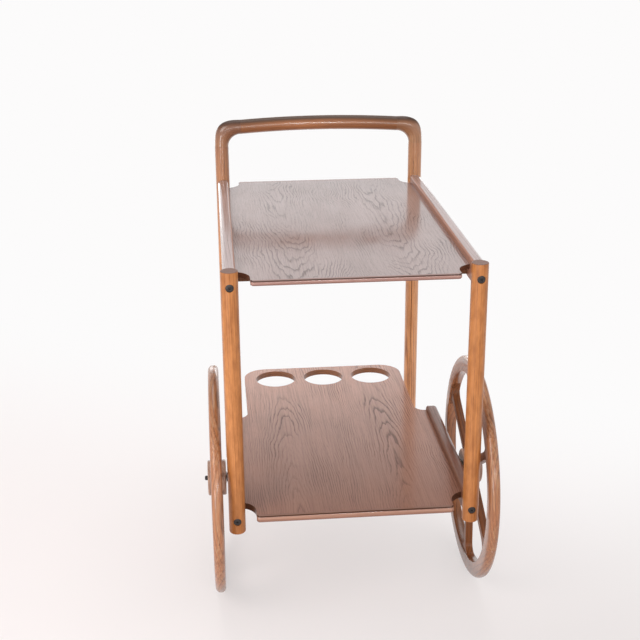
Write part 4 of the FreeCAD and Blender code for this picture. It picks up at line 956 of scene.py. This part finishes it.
@dataclass
class RingTree:
    """Geometry Nodes tree that sets copies of one board about an axis along X."""

    name: str = "ring_of_boards"

    def build(self) -> bpy.types.NodeTree:
        """Make the tree.

        Returns:
            The tree, with named inputs.
        """
        tree = bpy.data.node_groups.new(self.name, "GeometryNodeTree")
        face = tree.interface
        face.new_socket("Geometry", in_out="INPUT", socket_type="NodeSocketGeometry")
        face.new_socket("Boards", in_out="INPUT", socket_type="NodeSocketInt")
        face.new_socket("First angle", in_out="INPUT", socket_type="NodeSocketFloat")
        face.new_socket("Axle", in_out="INPUT", socket_type="NodeSocketVector")
        face.new_socket("Finish", in_out="INPUT", socket_type="NodeSocketMaterial")
        face.new_socket("Seed", in_out="INPUT", socket_type="NodeSocketInt")
        face.new_socket("Geometry", in_out="OUTPUT", socket_type="NodeSocketGeometry")
        given = add_node(tree, "NodeGroupInput").outputs
        points = add_node(tree, "GeometryNodePoints", {"Count": given["Boards"], "Position": given["Axle"]})
        index = add_node(tree, "GeometryNodeInputIndex").outputs[0]
        step = add_node(tree, "ShaderNodeMath", {0: math.tau, 1: given["Boards"]},
                        operation="DIVIDE").outputs[0]
        angle = add_node(tree, "ShaderNodeMath", {0: index, 1: step, 2: given["First angle"]},
                         operation="MULTIPLY_ADD").outputs[0]
        turn = add_node(tree, "FunctionNodeAxisAngleToRotation", {"Axis": (1, 0, 0), "Angle": angle})
        ring = add_node(tree, "GeometryNodeInstanceOnPoints",
                        {"Points": points.outputs[0], "Instance": given["Geometry"],
                         "Rotation": turn.outputs[0]}).outputs[0]
        lot = add_node(tree, "FunctionNodeRandomValue", {"Seed": given["Seed"], "ID": index},
                       data_type="FLOAT_VECTOR")
        marked = add_node(tree, "GeometryNodeStoreNamedAttribute",
                          {"Geometry": ring, "Name": BOARD, "Value": lot.outputs[0]},
                          data_type="FLOAT_VECTOR", domain="INSTANCE").outputs[0]
        real = add_node(tree, "GeometryNodeRealizeInstances", {0: marked}).outputs[0]
        done = add_node(tree, "GeometryNodeSetMaterial", {"Geometry": real, "Material": given["Finish"]})
        add_node(tree, "NodeGroupOutput", {0: done.outputs[0]})
        return tree


def grown(shop: Workshop, name: str, seed_mesh: bpy.types.Mesh, tree: bpy.types.NodeTree, values: dict,
          piece_name: str) -> bpy.types.Object:
    """Run a Geometry Nodes tree on a mesh and keep the result as a plain mesh.

    Args:
        shop: the workshop.
        name: name of the modifier.
        seed_mesh: what the tree starts from.
        tree: the tree.
        values: its inputs by name.
        piece_name: name of the new piece.

    Returns:
        The new object, without modifiers.
    """
    carrier = shop.new_object(f"{piece_name}_carrier", seed_mesh)
    modifier = carrier.modifiers.new(name, "NODES")
    modifier.node_group = tree
    for item in tree.interface.items_tree:
        if item.in_out == "INPUT" and item.name in values:
            modifier[item.identifier] = values[item.name]
    graph = bpy.context.evaluated_depsgraph_get()
    mesh = bpy.data.meshes.new_from_object(carrier.evaluated_get(graph), preserve_all_data_layers=True,
                                           depsgraph=graph)
    mesh.name = piece_name
    carrier.modifiers.remove(modifier)
    bpy.data.objects.remove(carrier)
    return shop.new_object(piece_name, mesh)


# Seeds that give each ring of boards its own stretch of grain
RING_SEEDS = {("rim", "right"): 11, ("rim", "left"): 23, ("spokes", "right"): 31, ("spokes", "left"): 47}


@dataclass
class Wheel:
    """One six-spoked wheel: rim boards, spokes and hub."""

    side: str
    track_half: float = 0.25
    axle_y: float = -0.16175
    radius: float = 0.2185
    rim_width: float = 0.0315
    rim_thickness: float = 0.02
    outer_round: float = 0.0095
    inner_round: float = 0.0025
    spoke_width: float = 0.015
    spoke_thickness: float = 0.014
    flare: float = 0.022
    core_radius: float = 0.016
    spoke_angle: float = 27.0
    lead_angle: float = 7.0
    boards: int = 6
    joint_ease: float = 0.0004
    worn_depth: float = 0.006
    side_round: float = 0.0024
    round_ends_before_rim: float = 0.0012
    sharp_deg: float = 40.0
    # Facets of each curve
    outer_steps: int = 8
    inner_steps: int = 3
    board_steps: int = 24
    shaft_steps: int = 6
    flare_steps: int = 10
    tip_steps: int = 8
    side_steps: int = 3

    def rim_profile(self, shrink: float) -> list[tuple[float, float]]:
        """The rim's section as X and radius, smaller all round by shrink.

        Args:
            shrink: how far the section pulls in, in metres.

        Returns:
            Points in order round the section.
        """
        half = self.rim_thickness / 2 - shrink
        low = self.radius - self.rim_width + shrink
        high = self.radius - shrink
        points = []
        for corner_x, corner_r, bend, first, steps in (
            (half, low, self.inner_round, -90, self.inner_steps),
            (half, high, self.outer_round, 0, self.outer_steps),
            (-half, high, self.outer_round, 90, self.outer_steps),
            (-half, low, self.inner_round, 180, self.inner_steps),
        ):
            bend -= shrink
            mid_x = corner_x - math.copysign(bend, corner_x)
            mid_r = corner_r + bend if corner_r == low else corner_r - bend
            for k in range(steps + 1):
                angle = math.radians(first + 90 * k / steps)
                points.append((mid_x + bend * math.cos(angle), mid_r + bend * math.sin(angle)))
        return points

    def rim_board(self) -> bpy.types.Mesh:
        """One sixth of the rim about X, its spoke at the top, with eased ends.

        Returns:
            The mesh, with its grain along the chord.
        """
        form = bmesh.new()
        start, stop = -self.lead_angle, 360 / self.boards - self.lead_angle
        ease_deg = math.degrees(self.joint_ease / self.radius)
        stations = [(start, self.joint_ease), (start + ease_deg, 0.0)]
        stations += [(start + (stop - start) * k / self.board_steps, 0.0) for k in range(1, self.board_steps)]
        stations += [(stop - ease_deg, 0.0), (stop, self.joint_ease)]
        rows = []
        for degrees, shrink in stations:
            angle = math.radians(degrees)
            rows.append([form.verts.new((x, -r * math.sin(angle), r * math.cos(angle)))
                         for x, r in self.rim_profile(shrink)])
        for row, following in zip(rows, rows[1:]):
            for k in range(len(row)):
                n = (k + 1) % len(row)
                form.faces.new((row[k], row[n], following[n], following[k]))
        form.faces.new(rows[0])
        form.faces.new(rows[-1])
        bmesh.ops.recalc_face_normals(form, faces=form.faces)
        middle = math.radians((start + stop) / 2)
        chord = Vector((0, -math.cos(middle), -math.sin(middle)))
        out = Vector((0, -math.sin(middle), math.cos(middle)))
        mesh = self.finished_mesh("rim_board", form, lambda p: Vector((p.x, p.dot(out), p.dot(chord))))
        layer = mesh.attributes.new(WEAR, "FLOAT", "POINT")
        for index, vertex in enumerate(mesh.vertices):
            below_tread = self.radius - math.hypot(vertex.co.y, vertex.co.z)
            layer.data[index].value = max(0.0, 1.0 - below_tread / self.worn_depth)
        return mesh

    def spoke_board(self) -> bpy.types.Mesh:
        """One spoke at the top, flared into the rim and rounded along its sides.

        Returns:
            The mesh, with its grain up the spoke.
        """
        half = self.spoke_width / 2
        inner = self.radius - self.rim_width
        centre_y = half + self.flare
        centre_z = math.sqrt((inner - self.flare) ** 2 - centre_y ** 2)
        root = math.sqrt(self.core_radius ** 2 - half ** 2)
        last = math.atan2(centre_z, centre_y)
        side = [(half, root + (centre_z - root) * k / self.shaft_steps) for k in range(self.shaft_steps)]
        for k in range(self.flare_steps + 1):
            angle = math.pi + (last - math.pi) * k / self.flare_steps
            side.append((centre_y + self.flare * math.cos(angle), centre_z + self.flare * math.sin(angle)))
        tip_y, tip_z = side[-1]
        spread = math.atan2(tip_y, tip_z)
        tip_angles = [spread - 2 * spread * k / self.tip_steps for k in range(1, self.tip_steps)]
        tip = [(inner * math.sin(angle), inner * math.cos(angle)) for angle in tip_angles]
        outline = side + tip + [(-y, z) for y, z in reversed(side)]
        form = bmesh.new()
        ring = [form.verts.new((-self.spoke_thickness / 2, y, z)) for y, z in outline]
        face = form.faces.new(ring)
        extruded = bmesh.ops.extrude_face_region(form, geom=[face])
        moved = [item for item in extruded["geom"] if isinstance(item, bmesh.types.BMVert)]
        bmesh.ops.translate(form, verts=moved, vec=(self.spoke_thickness, 0, 0))
        edges = []
        for edge in form.edges:
            a, b = (vertex.co for vertex in edge.verts)
            up_the_side = abs(a.x - b.x) < HAIR and abs(a.z - b.z) > 10 * HAIR
            below_the_rim = max(a.z, b.z) < tip_z - self.round_ends_before_rim
            if up_the_side and below_the_rim and math.hypot(a.y, a.z) > self.core_radius - HAIR:
                edges.append(edge)
        bmesh.ops.bevel(form, geom=edges, offset=self.side_round, segments=self.side_steps, profile=0.5,
                        affect="EDGES", clamp_overlap=True)
        bmesh.ops.recalc_face_normals(form, faces=form.faces)
        return self.finished_mesh("spoke_board", form, lambda p: Vector((p.x, p.y, p.z)))

    def finished_mesh(self, name: str, form: bmesh.types.BMesh,
                      grain: Callable[[Vector], Vector]) -> bpy.types.Mesh:
        """Turn a form into a smooth-shaded mesh with its grain marked.

        Args:
            name: the mesh's name.
            form: the form, which is freed.
            grain: turns a place into its place in the board.

        Returns:
            The mesh.
        """
        mesh = bpy.data.meshes.new(f"{name}_{self.side}")
        form.to_mesh(mesh)
        form.free()
        mesh.shade_smooth()
        mesh.set_sharp_from_angle(angle=math.radians(self.sharp_deg))
        mark_grain(mesh, grain)
        return mesh

    def make(self, shop: Workshop, tree: bpy.types.NodeTree) -> None:
        """Make the wheel's rim and spokes and dress its hub.

        Args:
            shop: the workshop.
            tree: the tree that sets boards in a ring.
        """
        sign = 1 if self.side == "right" else -1
        axle = (sign * self.track_half, self.axle_y, self.radius)
        common = {"Boards": self.boards, "Axle": axle}
        # Spoke angles count from the rear towards the top
        first = math.radians(self.spoke_angle - 90)
        for stem, board, finish in (("rim", self.rim_board(), FinishBook.rims),
                                    ("spokes", self.spoke_board(), FinishBook.spokes)):
            values = {**common, "First angle": first, "Finish": shop.finishes.get(finish),
                      "Seed": RING_SEEDS[stem, self.side]}
            piece = grown(shop, "ring", board, tree, values, f"wheel_{stem}_boards_{self.side}")
            shop.hang(piece, f"wheel_{stem}_{self.side}")
        discs = [f"hub_disc_{place}_{self.side}" for place in ("inner", "outer")]
        shop.dress(discs + [f"hub_core_{self.side}"], FinishBook.hubs)
        shop.dress([f"wheel_bush_{self.side}", f"thrust_washer_{self.side}"], FinishBook.nylon)
        shop.dress([f"stub_axle_{self.side}", f"axle_cap_{self.side}"], FinishBook.black_steel)
        shop.dress([f"axle_insert_{self.side}"], FinishBook.brass)


@dataclass
class SeatTree:
    """Geometry Nodes tree that drives one fitting into each seat, turned as far as it went."""

    name: str = "fittings_in_seats"

    def build(self) -> bpy.types.NodeTree:
        """Make the tree.

        Returns:
            The tree, with named inputs.
        """
        tree = bpy.data.node_groups.new(self.name, "GeometryNodeTree")
        face = tree.interface
        face.new_socket("Geometry", in_out="INPUT", socket_type="NodeSocketGeometry")
        face.new_socket("Fitting", in_out="INPUT", socket_type="NodeSocketObject")
        face.new_socket("Finish", in_out="INPUT", socket_type="NodeSocketMaterial")
        face.new_socket("Seed", in_out="INPUT", socket_type="NodeSocketInt")
        face.new_socket("Geometry", in_out="OUTPUT", socket_type="NodeSocketGeometry")
        given = add_node(tree, "NodeGroupInput").outputs
        fitting = add_node(tree, "GeometryNodeObjectInfo", {"Object": given["Fitting"]})
        way = add_node(tree, "GeometryNodeInputNamedAttribute", {"Name": FACING}, data_type="FLOAT_VECTOR")
        aimed = add_node(tree, "FunctionNodeAlignRotationToVector", {"Vector": way.outputs[0]}, axis="Z")
        index = add_node(tree, "GeometryNodeInputIndex").outputs[0]
        turn = add_node(tree, "FunctionNodeRandomValue",
                        {2: 0.0, 3: math.tau, "Seed": given["Seed"], "ID": index}, data_type="FLOAT")
        spin = add_node(tree, "FunctionNodeAxisAngleToRotation",
                        {"Axis": (0, 0, 1), "Angle": turn.outputs[1]})
        driven = add_node(tree, "FunctionNodeRotateRotation", {0: aimed.outputs[0], 1: spin.outputs[0]},
                          rotation_space="LOCAL")
        placed = add_node(tree, "GeometryNodeInstanceOnPoints",
                          {"Points": given["Geometry"], "Instance": fitting.outputs["Geometry"],
                           "Rotation": driven.outputs[0]}).outputs[0]
        real = add_node(tree, "GeometryNodeRealizeInstances", {0: placed}).outputs[0]
        done = add_node(tree, "GeometryNodeSetMaterial", {"Geometry": real, "Material": given["Finish"]})
        add_node(tree, "NodeGroupOutput", {0: done.outputs[0]})
        return tree


@dataclass(frozen=True)
class Fitting:
    """A bolt or screw that points its head along Z, with the head's top at the origin."""

    name: str
    head_radius: float
    head_height: float
    shank_radius: float
    length: float
    key_radius: float
    key_depth: float
    key_lobe: float
    ease: float
    tapered: bool = False
    steps: int = 48
    sharp_deg: float = 35.0

    def key_reach(self, angle: float) -> float:
        """How far the key's hole reaches: a hexagon's, or six soft lobes.

        Args:
            angle: the way from the middle, in radians.

        Returns:
            The reach, in metres.
        """
        if self.key_lobe > 0:
            return self.key_radius + self.key_lobe * math.cos(6 * angle)
        return self.key_radius * math.cos(math.pi / 6) / math.cos((angle % (math.pi / 3)) - math.pi / 6)

    def mesh(self) -> bpy.types.Mesh:
        """Turn the fitting's outline about Z and sink the key's hole in its head.

        Returns:
            The closed mesh.
        """
        soft = self.ease * (1 - math.sqrt(0.5))
        outline = [(self.head_radius - self.ease, 0.0), (self.head_radius - soft, -soft),
                   (self.head_radius, -self.ease)]
        if not self.tapered:
            outline.append((self.head_radius, -self.head_height))
        outline += [(self.shank_radius, -self.head_height), (self.shank_radius, -self.length + self.ease),
                    (self.shank_radius - self.ease, -self.length)]
        form = bmesh.new()
        angles = [math.tau * k / self.steps for k in range(self.steps)]
        rows = [[form.verts.new((self.key_reach(a) * math.cos(a), self.key_reach(a) * math.sin(a), z))
                 for a in angles] for z in (-self.key_depth, 0.0)]
        rows += [[form.verts.new((r * math.cos(a), r * math.sin(a), z)) for a in angles] for r, z in outline]
        for row, following in zip(rows, rows[1:]):
            for k in range(self.steps):
                n = (k + 1) % self.steps
                form.faces.new((row[k], row[n], following[n], following[k]))
        form.faces.new(rows[0])
        form.faces.new(rows[-1])
        bmesh.ops.recalc_face_normals(form, faces=form.faces)
        mesh = bpy.data.meshes.new(self.name)
        form.to_mesh(mesh)
        form.free()
        mesh.shade_smooth()
        mesh.set_sharp_from_angle(angle=math.radians(self.sharp_deg))
        return mesh


@dataclass
class Fasteners:
    """Bolts in the frame, screws in the cleats, and the hidden nuts.

    A row gives the place along and above the floor; a bolt's row also says which way its head faces.
    """

    post_x: float = 0.215
    bolt_rows: tuple[tuple[float, float, float], ...] = (
        (-0.33975, 0.663, -1), (-0.33975, 0.218, -1), (0.37025, 0.663, 1))
    cleat_rows: tuple[tuple[float, float], ...] = (
        (-0.26075, 0.654), (0.29125, 0.654), (-0.22075, 0.2055), (0.00425, 0.2055))
    screw_pitch: float = 0.15
    bolt: Fitting = Fitting("socket_bolt", head_radius=0.00675, head_height=0.004, shank_radius=0.003,
                            length=0.064, key_radius=0.0029, key_depth=0.0025, key_lobe=0.0, ease=0.0006)
    screw: Fitting = Fitting("cleat_screw", head_radius=0.004, head_height=0.002, shank_radius=0.002,
                             length=0.02, key_radius=0.0017, key_depth=0.0015, key_lobe=0.0003, ease=0.0002,
                             tapered=True)
    bolt_seed: int = 5
    screw_seed: int = 9

    def driven(self, shop: Workshop, tree: bpy.types.NodeTree, fitting: Fitting, finish: PlainFinish,
               seats: list[tuple[Vector, Vector]], node: str, seed: int) -> None:
        """Put one fitting in each seat and hang the lot for its CAD node.

        Args:
            shop: the workshop.
            tree: the tree that fills seats.
            fitting: the bolt or screw.
            finish: its metal.
            seats: each seat's place and the way its head faces.
            node: the CAD node.
            seed: the seed of the turns.
        """
        pattern = shop.new_object(f"{fitting.name}_pattern", fitting.mesh())
        mesh = bpy.data.meshes.new(f"{fitting.name}_seats")
        mesh.from_pydata([place[:] for place, _ in seats], [], [])
        layer = mesh.attributes.new(FACING, "FLOAT_VECTOR", "POINT")
        for index, (_, way) in enumerate(seats):
            layer.data[index].vector = way
        values = {"Fitting": pattern, "Finish": shop.finishes.get(finish), "Seed": seed}
        shop.hang(grown(shop, "seats", mesh, tree, values, f"{fitting.name}_set"), node)
        bpy.data.objects.remove(pattern)

    def make(self, shop: Workshop) -> None:
        """Make the bolts and screws and dress the nuts.

        Args:
            shop: the workshop.
        """
        tree = SeatTree().build()
        seats = [(Vector((side * self.post_x, y, z)), Vector((0, way, 0)))
                 for y, z, way in self.bolt_rows for side in (-1, 1)]
        self.driven(shop, tree, self.bolt, FinishBook.black_steel, seats, "frame_bolts", self.bolt_seed)
        seats = [(Vector((step * self.screw_pitch, y, z)), Vector((0, 0, -1)))
                 for y, z in self.cleat_rows for step in (-1, 0, 1)]
        self.driven(shop, tree, self.screw, FinishBook.zinc_steel, seats, "cleat_screws", self.screw_seed)
        shop.dress(["barrel_nuts"], FinishBook.zinc_steel)


@dataclass(frozen=True)
class Softbox:
    """One soft rectangular lamp: where it hangs, its size in metres, its power in watts and its aim."""

    name: str
    spot: tuple[float, float, float]
    size: tuple[float, float]
    watts: float
    target: tuple[float, float, float] = (0.0, 0.0, 0.45)
    colour: str = "FFFFFF"

    def hang(self) -> None:
        """Hang the lamp in the scene, aimed at its target."""
        data = bpy.data.lights.new(self.name, "AREA")
        data.shape = "RECTANGLE"
        data.size, data.size_y = self.size
        data.energy = self.watts
        data.color = linear(self.colour)[:3]
        lamp = bpy.data.objects.new(self.name, data)
        bpy.context.scene.collection.objects.link(lamp)
        lamp.location = self.spot
        lamp.rotation_mode = "QUATERNION"
        lamp.rotation_quaternion = (Vector(self.target) - Vector(self.spot)).to_track_quat("-Z", "Y")


@dataclass
class Studio:
    """Pale sweep, soft lamps and the camera at the photograph's angle."""

    # Paint: two shades of off-white, and painted shade that greys it towards the front right
    floor_colour: str = "EFE2E0"
    smudged_colour: str = "E8DCDA"
    smudges_per_metre: float = 1.3
    smudge_octaves: float = 3.0
    smudged_from: float = 0.35
    smudged_to: float = 0.65
    smudge_strength: float = 0.35
    painted_shade_colour: str = "CFC4C2"
    scuffs_and_shade_from: float = 0.3
    painted_shade_to: float = 0.95
    matt: float = 0.75
    # As the camera and mirrors see it, the floor grows whiter to the back and the wall dims above the frame
    white: str = "FCFBFB"
    floor_glow: float = 0.53
    white_from: float = -0.35
    white_to: float = 0.95
    white_lean: float = 0.5
    white_wall_to: float = 2.5
    dim_wall_from: float = 3.5
    ceiling: float = 0.3
    # The air past the sweep: white up to a slope, dim above it, and softer as a light than to the eye
    white_slope_to: float = 0.35
    dim_slope_from: float = 0.6
    air_light: float = 0.65
    # The sweep's run, in metres
    sweep_front: float = -7.0
    bend_at: float = 3.0
    bend_radius: float = 2.0
    wall_top: float = 6.0
    sweep_half_width: float = 9.0
    bend_step_deg: int = 6
    # The camera, as fitted to the photograph
    eye: tuple[float, float, float] = (-0.23318, -2.23724, 1.29006)
    pitch: float = 19.89
    yaw: float = 5.129
    roll: float = 0.395
    focal_px: float = 1185.903
    frame_px: float = 640.0
    sensor: float = 36.0
    clip: tuple[float, float] = (0.05, 100.0)
    # A thin lamp and a small one in front draw lines of light on handle and legs; the others are broad
    lamps: tuple[Softbox, ...] = (
        Softbox("key_softbox", (-2.3, -2.1, 2.5), (1.8, 1.8), 45.0, colour="FFFDFA"),
        Softbox("low_softbox", (-1.75, -2.5, 0.38), (1.0, 0.7), 16.0),
        Softbox("front_strip", (0.4, -3.6, 1.3), (3.4, 0.12), 22.0, (0.0, 0.3, 0.8)),
        Softbox("front_window", (0.33, -3.55, 1.3), (0.34, 0.3), 6.0, (0.0, 0.3, 0.8)),
        Softbox("rear_low_softbox", (0.0, 2.3, 0.56), (1.6, 0.4), 6.0, (0.0, 0.3, 0.3)),
        Softbox("fill_softbox", (2.6, -0.6, 1.6), (1.6, 1.6), 6.0),
        Softbox("top_softbox", (0.0, 1.2, 3.2), (2.4, 2.0), 32.0),
    )

    def camera(self) -> None:
        """Set the camera where the photograph was taken from."""
        data = bpy.data.cameras.new("photo_camera")
        data.sensor_width = self.sensor
        data.lens = self.focal_px / self.frame_px * self.sensor
        data.clip_start, data.clip_end = self.clip
        camera = bpy.data.objects.new("photo_camera", data)
        bpy.context.scene.collection.objects.link(camera)
        yaw, pitch, roll = (math.radians(v) for v in (self.yaw, self.pitch, self.roll))
        ahead = Vector((math.sin(yaw) * math.cos(pitch), math.cos(yaw) * math.cos(pitch), -math.sin(pitch)))
        right = Vector((math.cos(yaw), -math.sin(yaw), 0))
        down = ahead.cross(right)
        right, down = (right * math.cos(roll) + down * math.sin(roll),
                       down * math.cos(roll) - right * math.sin(roll))
        turn = Matrix((right, -down, -ahead)).transposed()
        camera.matrix_world = Matrix.Translation(self.eye) @ turn.to_4x4()
        bpy.context.scene.camera = camera

    def paint(self, tree: bpy.types.NodeTree, spot: bpy.types.NodeSocket) -> bpy.types.NodeSocket:
        """The sweep's matt paint as lamps light it.

        Args:
            tree: the material's tree.
            spot: the place on the sweep.

        Returns:
            The shader socket.
        """
        smudge = add_node(tree, "ShaderNodeTexNoise", {"Vector": spot, "Scale": self.smudges_per_metre,
                                                       "Detail": self.smudge_octaves}).outputs[0]
        share = add_node(tree, "ShaderNodeMapRange", {"Value": smudge, "From Min": self.smudged_from,
                                                      "From Max": self.smudged_to,
                                                      "To Max": self.smudge_strength}).outputs[0]
        colour = add_node(tree, "ShaderNodeMix", {0: share, 6: linear(self.floor_colour),
                                                  7: linear(self.smudged_colour)},
                          data_type="RGBA").outputs[2]
        # Painted shade: the floor greys towards the front right
        parts = add_node(tree, "ShaderNodeSeparateXYZ", {0: spot}).outputs
        aside = add_node(tree, "ShaderNodeMath", {0: parts[0], 1: parts[1]}, operation="SUBTRACT").outputs[0]
        scuffs_and_shade = add_node(tree, "ShaderNodeMapRange", {"Value": aside, "From Min": self.scuffs_and_shade_from,
                                                        "From Max": self.painted_shade_to},
                           interpolation_type="SMOOTHSTEP").outputs[0]
        colour = add_node(tree, "ShaderNodeMix", {0: scuffs_and_shade, 6: colour, 7: linear(self.painted_shade_colour)},
                          data_type="RGBA").outputs[2]
        return add_node(tree, "ShaderNodeBsdfPrincipled", {"Base Color": colour,
                                                           "Roughness": self.matt}).outputs[0]

    def floor_material(self) -> bpy.types.Material:
        """Matt painted sweep, which looks whiter towards the back.

        Returns:
            The finished material.
        """
        material = new_material("painted_sweep_matt")
        tree = material.node_tree
        spot = add_node(tree, "ShaderNodeTexCoord").outputs["Object"]
        parts = add_node(tree, "ShaderNodeSeparateXYZ", {0: spot}).outputs
        away = add_node(tree, "ShaderNodeMath", {0: parts[0], 1: self.white_lean, 2: parts[1]},
                        operation="MULTIPLY_ADD").outputs[0]
        back = add_node(tree, "ShaderNodeMapRange", {"Value": away, "From Min": self.white_from,
                                                     "From Max": self.white_to},
                        interpolation_type="SMOOTHSTEP").outputs[0]
        glow = add_node(tree, "ShaderNodeMapRange", {"Value": back, "To Min": self.floor_glow}).outputs[0]
        path = add_node(tree, "ShaderNodeLightPath").outputs
        seen = add_node(tree, "ShaderNodeMath", {0: path["Is Camera Ray"], 1: path["Is Glossy Ray"]},
                        operation="MAXIMUM").outputs[0]
        share = add_node(tree, "ShaderNodeMath", {0: seen, 1: glow}, operation="MULTIPLY").outputs[0]
        wall = add_node(tree, "ShaderNodeMapRange", {"Value": parts[2], "From Min": self.white_wall_to,
                                                     "From Max": self.dim_wall_from, "To Min": 1.0,
                                                     "To Max": self.ceiling},
                        interpolation_type="SMOOTHSTEP").outputs[0]
        white = add_node(tree, "ShaderNodeEmission", {"Color": linear(self.white), "Strength": wall})
        mixed = add_node(tree, "ShaderNodeMixShader", {0: share, 1: self.paint(tree, spot),
                                                       2: white.outputs[0]})
        add_node(tree, "ShaderNodeOutputMaterial", {"Surface": mixed.outputs[0]})
        return material

    def sweep(self) -> None:
        """The floor that curves up into a back wall."""
        form = bmesh.new()
        bend = [math.radians(degrees) for degrees in range(self.bend_step_deg, 91, self.bend_step_deg)]
        line = [(self.sweep_front, 0.0), (self.bend_at, 0.0)]
        line += [(self.bend_at + self.bend_radius * math.sin(angle), self.bend_radius * (1 - math.cos(angle)))
                 for angle in bend]
        line += [(self.bend_at + self.bend_radius, self.wall_top)]
        rows = [[form.verts.new((x, y, z)) for x in (-self.sweep_half_width, self.sweep_half_width)]
                for y, z in line]
        for row, following in zip(rows, rows[1:]):
            form.faces.new((row[0], row[1], following[1], following[0]))
        mesh = bpy.data.meshes.new("studio_sweep")
        form.to_mesh(mesh)
        form.free()
        mesh.shade_smooth()
        mesh.materials.append(self.floor_material())
        floor = bpy.data.objects.new("studio_sweep", mesh)
        bpy.context.scene.collection.objects.link(floor)

    def world(self) -> None:
        """White for what is seen or mirrored, softer for what lights the cart."""
        world = bpy.data.worlds.new("studio_air")
        bpy.context.scene.world = world
        world.use_nodes = True
        tree = world.node_tree
        tree.nodes.clear()
        path = add_node(tree, "ShaderNodeLightPath").outputs
        seen = add_node(tree, "ShaderNodeMath", {0: path["Is Camera Ray"], 1: path["Is Glossy Ray"]},
                        operation="MAXIMUM").outputs[0]
        seen = add_node(tree, "ShaderNodeMath", {0: seen, 1: path["Is Transmission Ray"]},
                        operation="MAXIMUM").outputs[0]
        ways = add_node(tree, "ShaderNodeTexCoord").outputs["Generated"]
        slope = add_node(tree, "ShaderNodeSeparateXYZ", {0: ways}).outputs[2]
        look = add_node(tree, "ShaderNodeMapRange", {"Value": slope, "From Min": self.white_slope_to,
                                                     "From Max": self.dim_slope_from, "To Min": 1.0,
                                                     "To Max": self.ceiling},
                        interpolation_type="SMOOTHSTEP").outputs[0]
        strength = add_node(tree, "ShaderNodeMapRange", {"Value": seen, "To Min": self.air_light,
                                                         "To Max": look}).outputs[0]
        air = add_node(tree, "ShaderNodeBackground", {"Color": (1, 1, 1, 1), "Strength": strength})
        add_node(tree, "ShaderNodeOutputWorld", {"Surface": air.outputs[0]})

    def make(self) -> None:
        """Build the studio."""
        bpy.context.scene.view_settings.view_transform = "Standard"
        self.camera()
        self.sweep()
        self.world()
        for lamp in self.lamps:
            lamp.hang()
        log.info("studio ready with %d lamps", len(self.lamps))


def main() -> None:
    """Build the cart's looks and the studio."""
    Studio().make()
    shop = Workshop(frame["nodes"], frame["record"])
    Uprights().make(shop)
    Handle().make(shop)
    Trays().make(shop)
    ring = RingTree().build()
    for side in ("left", "right"):
        Wheel(side).make(shop, ring)
    Fasteners().make(shop)


if __name__ == "__main__":
    main()
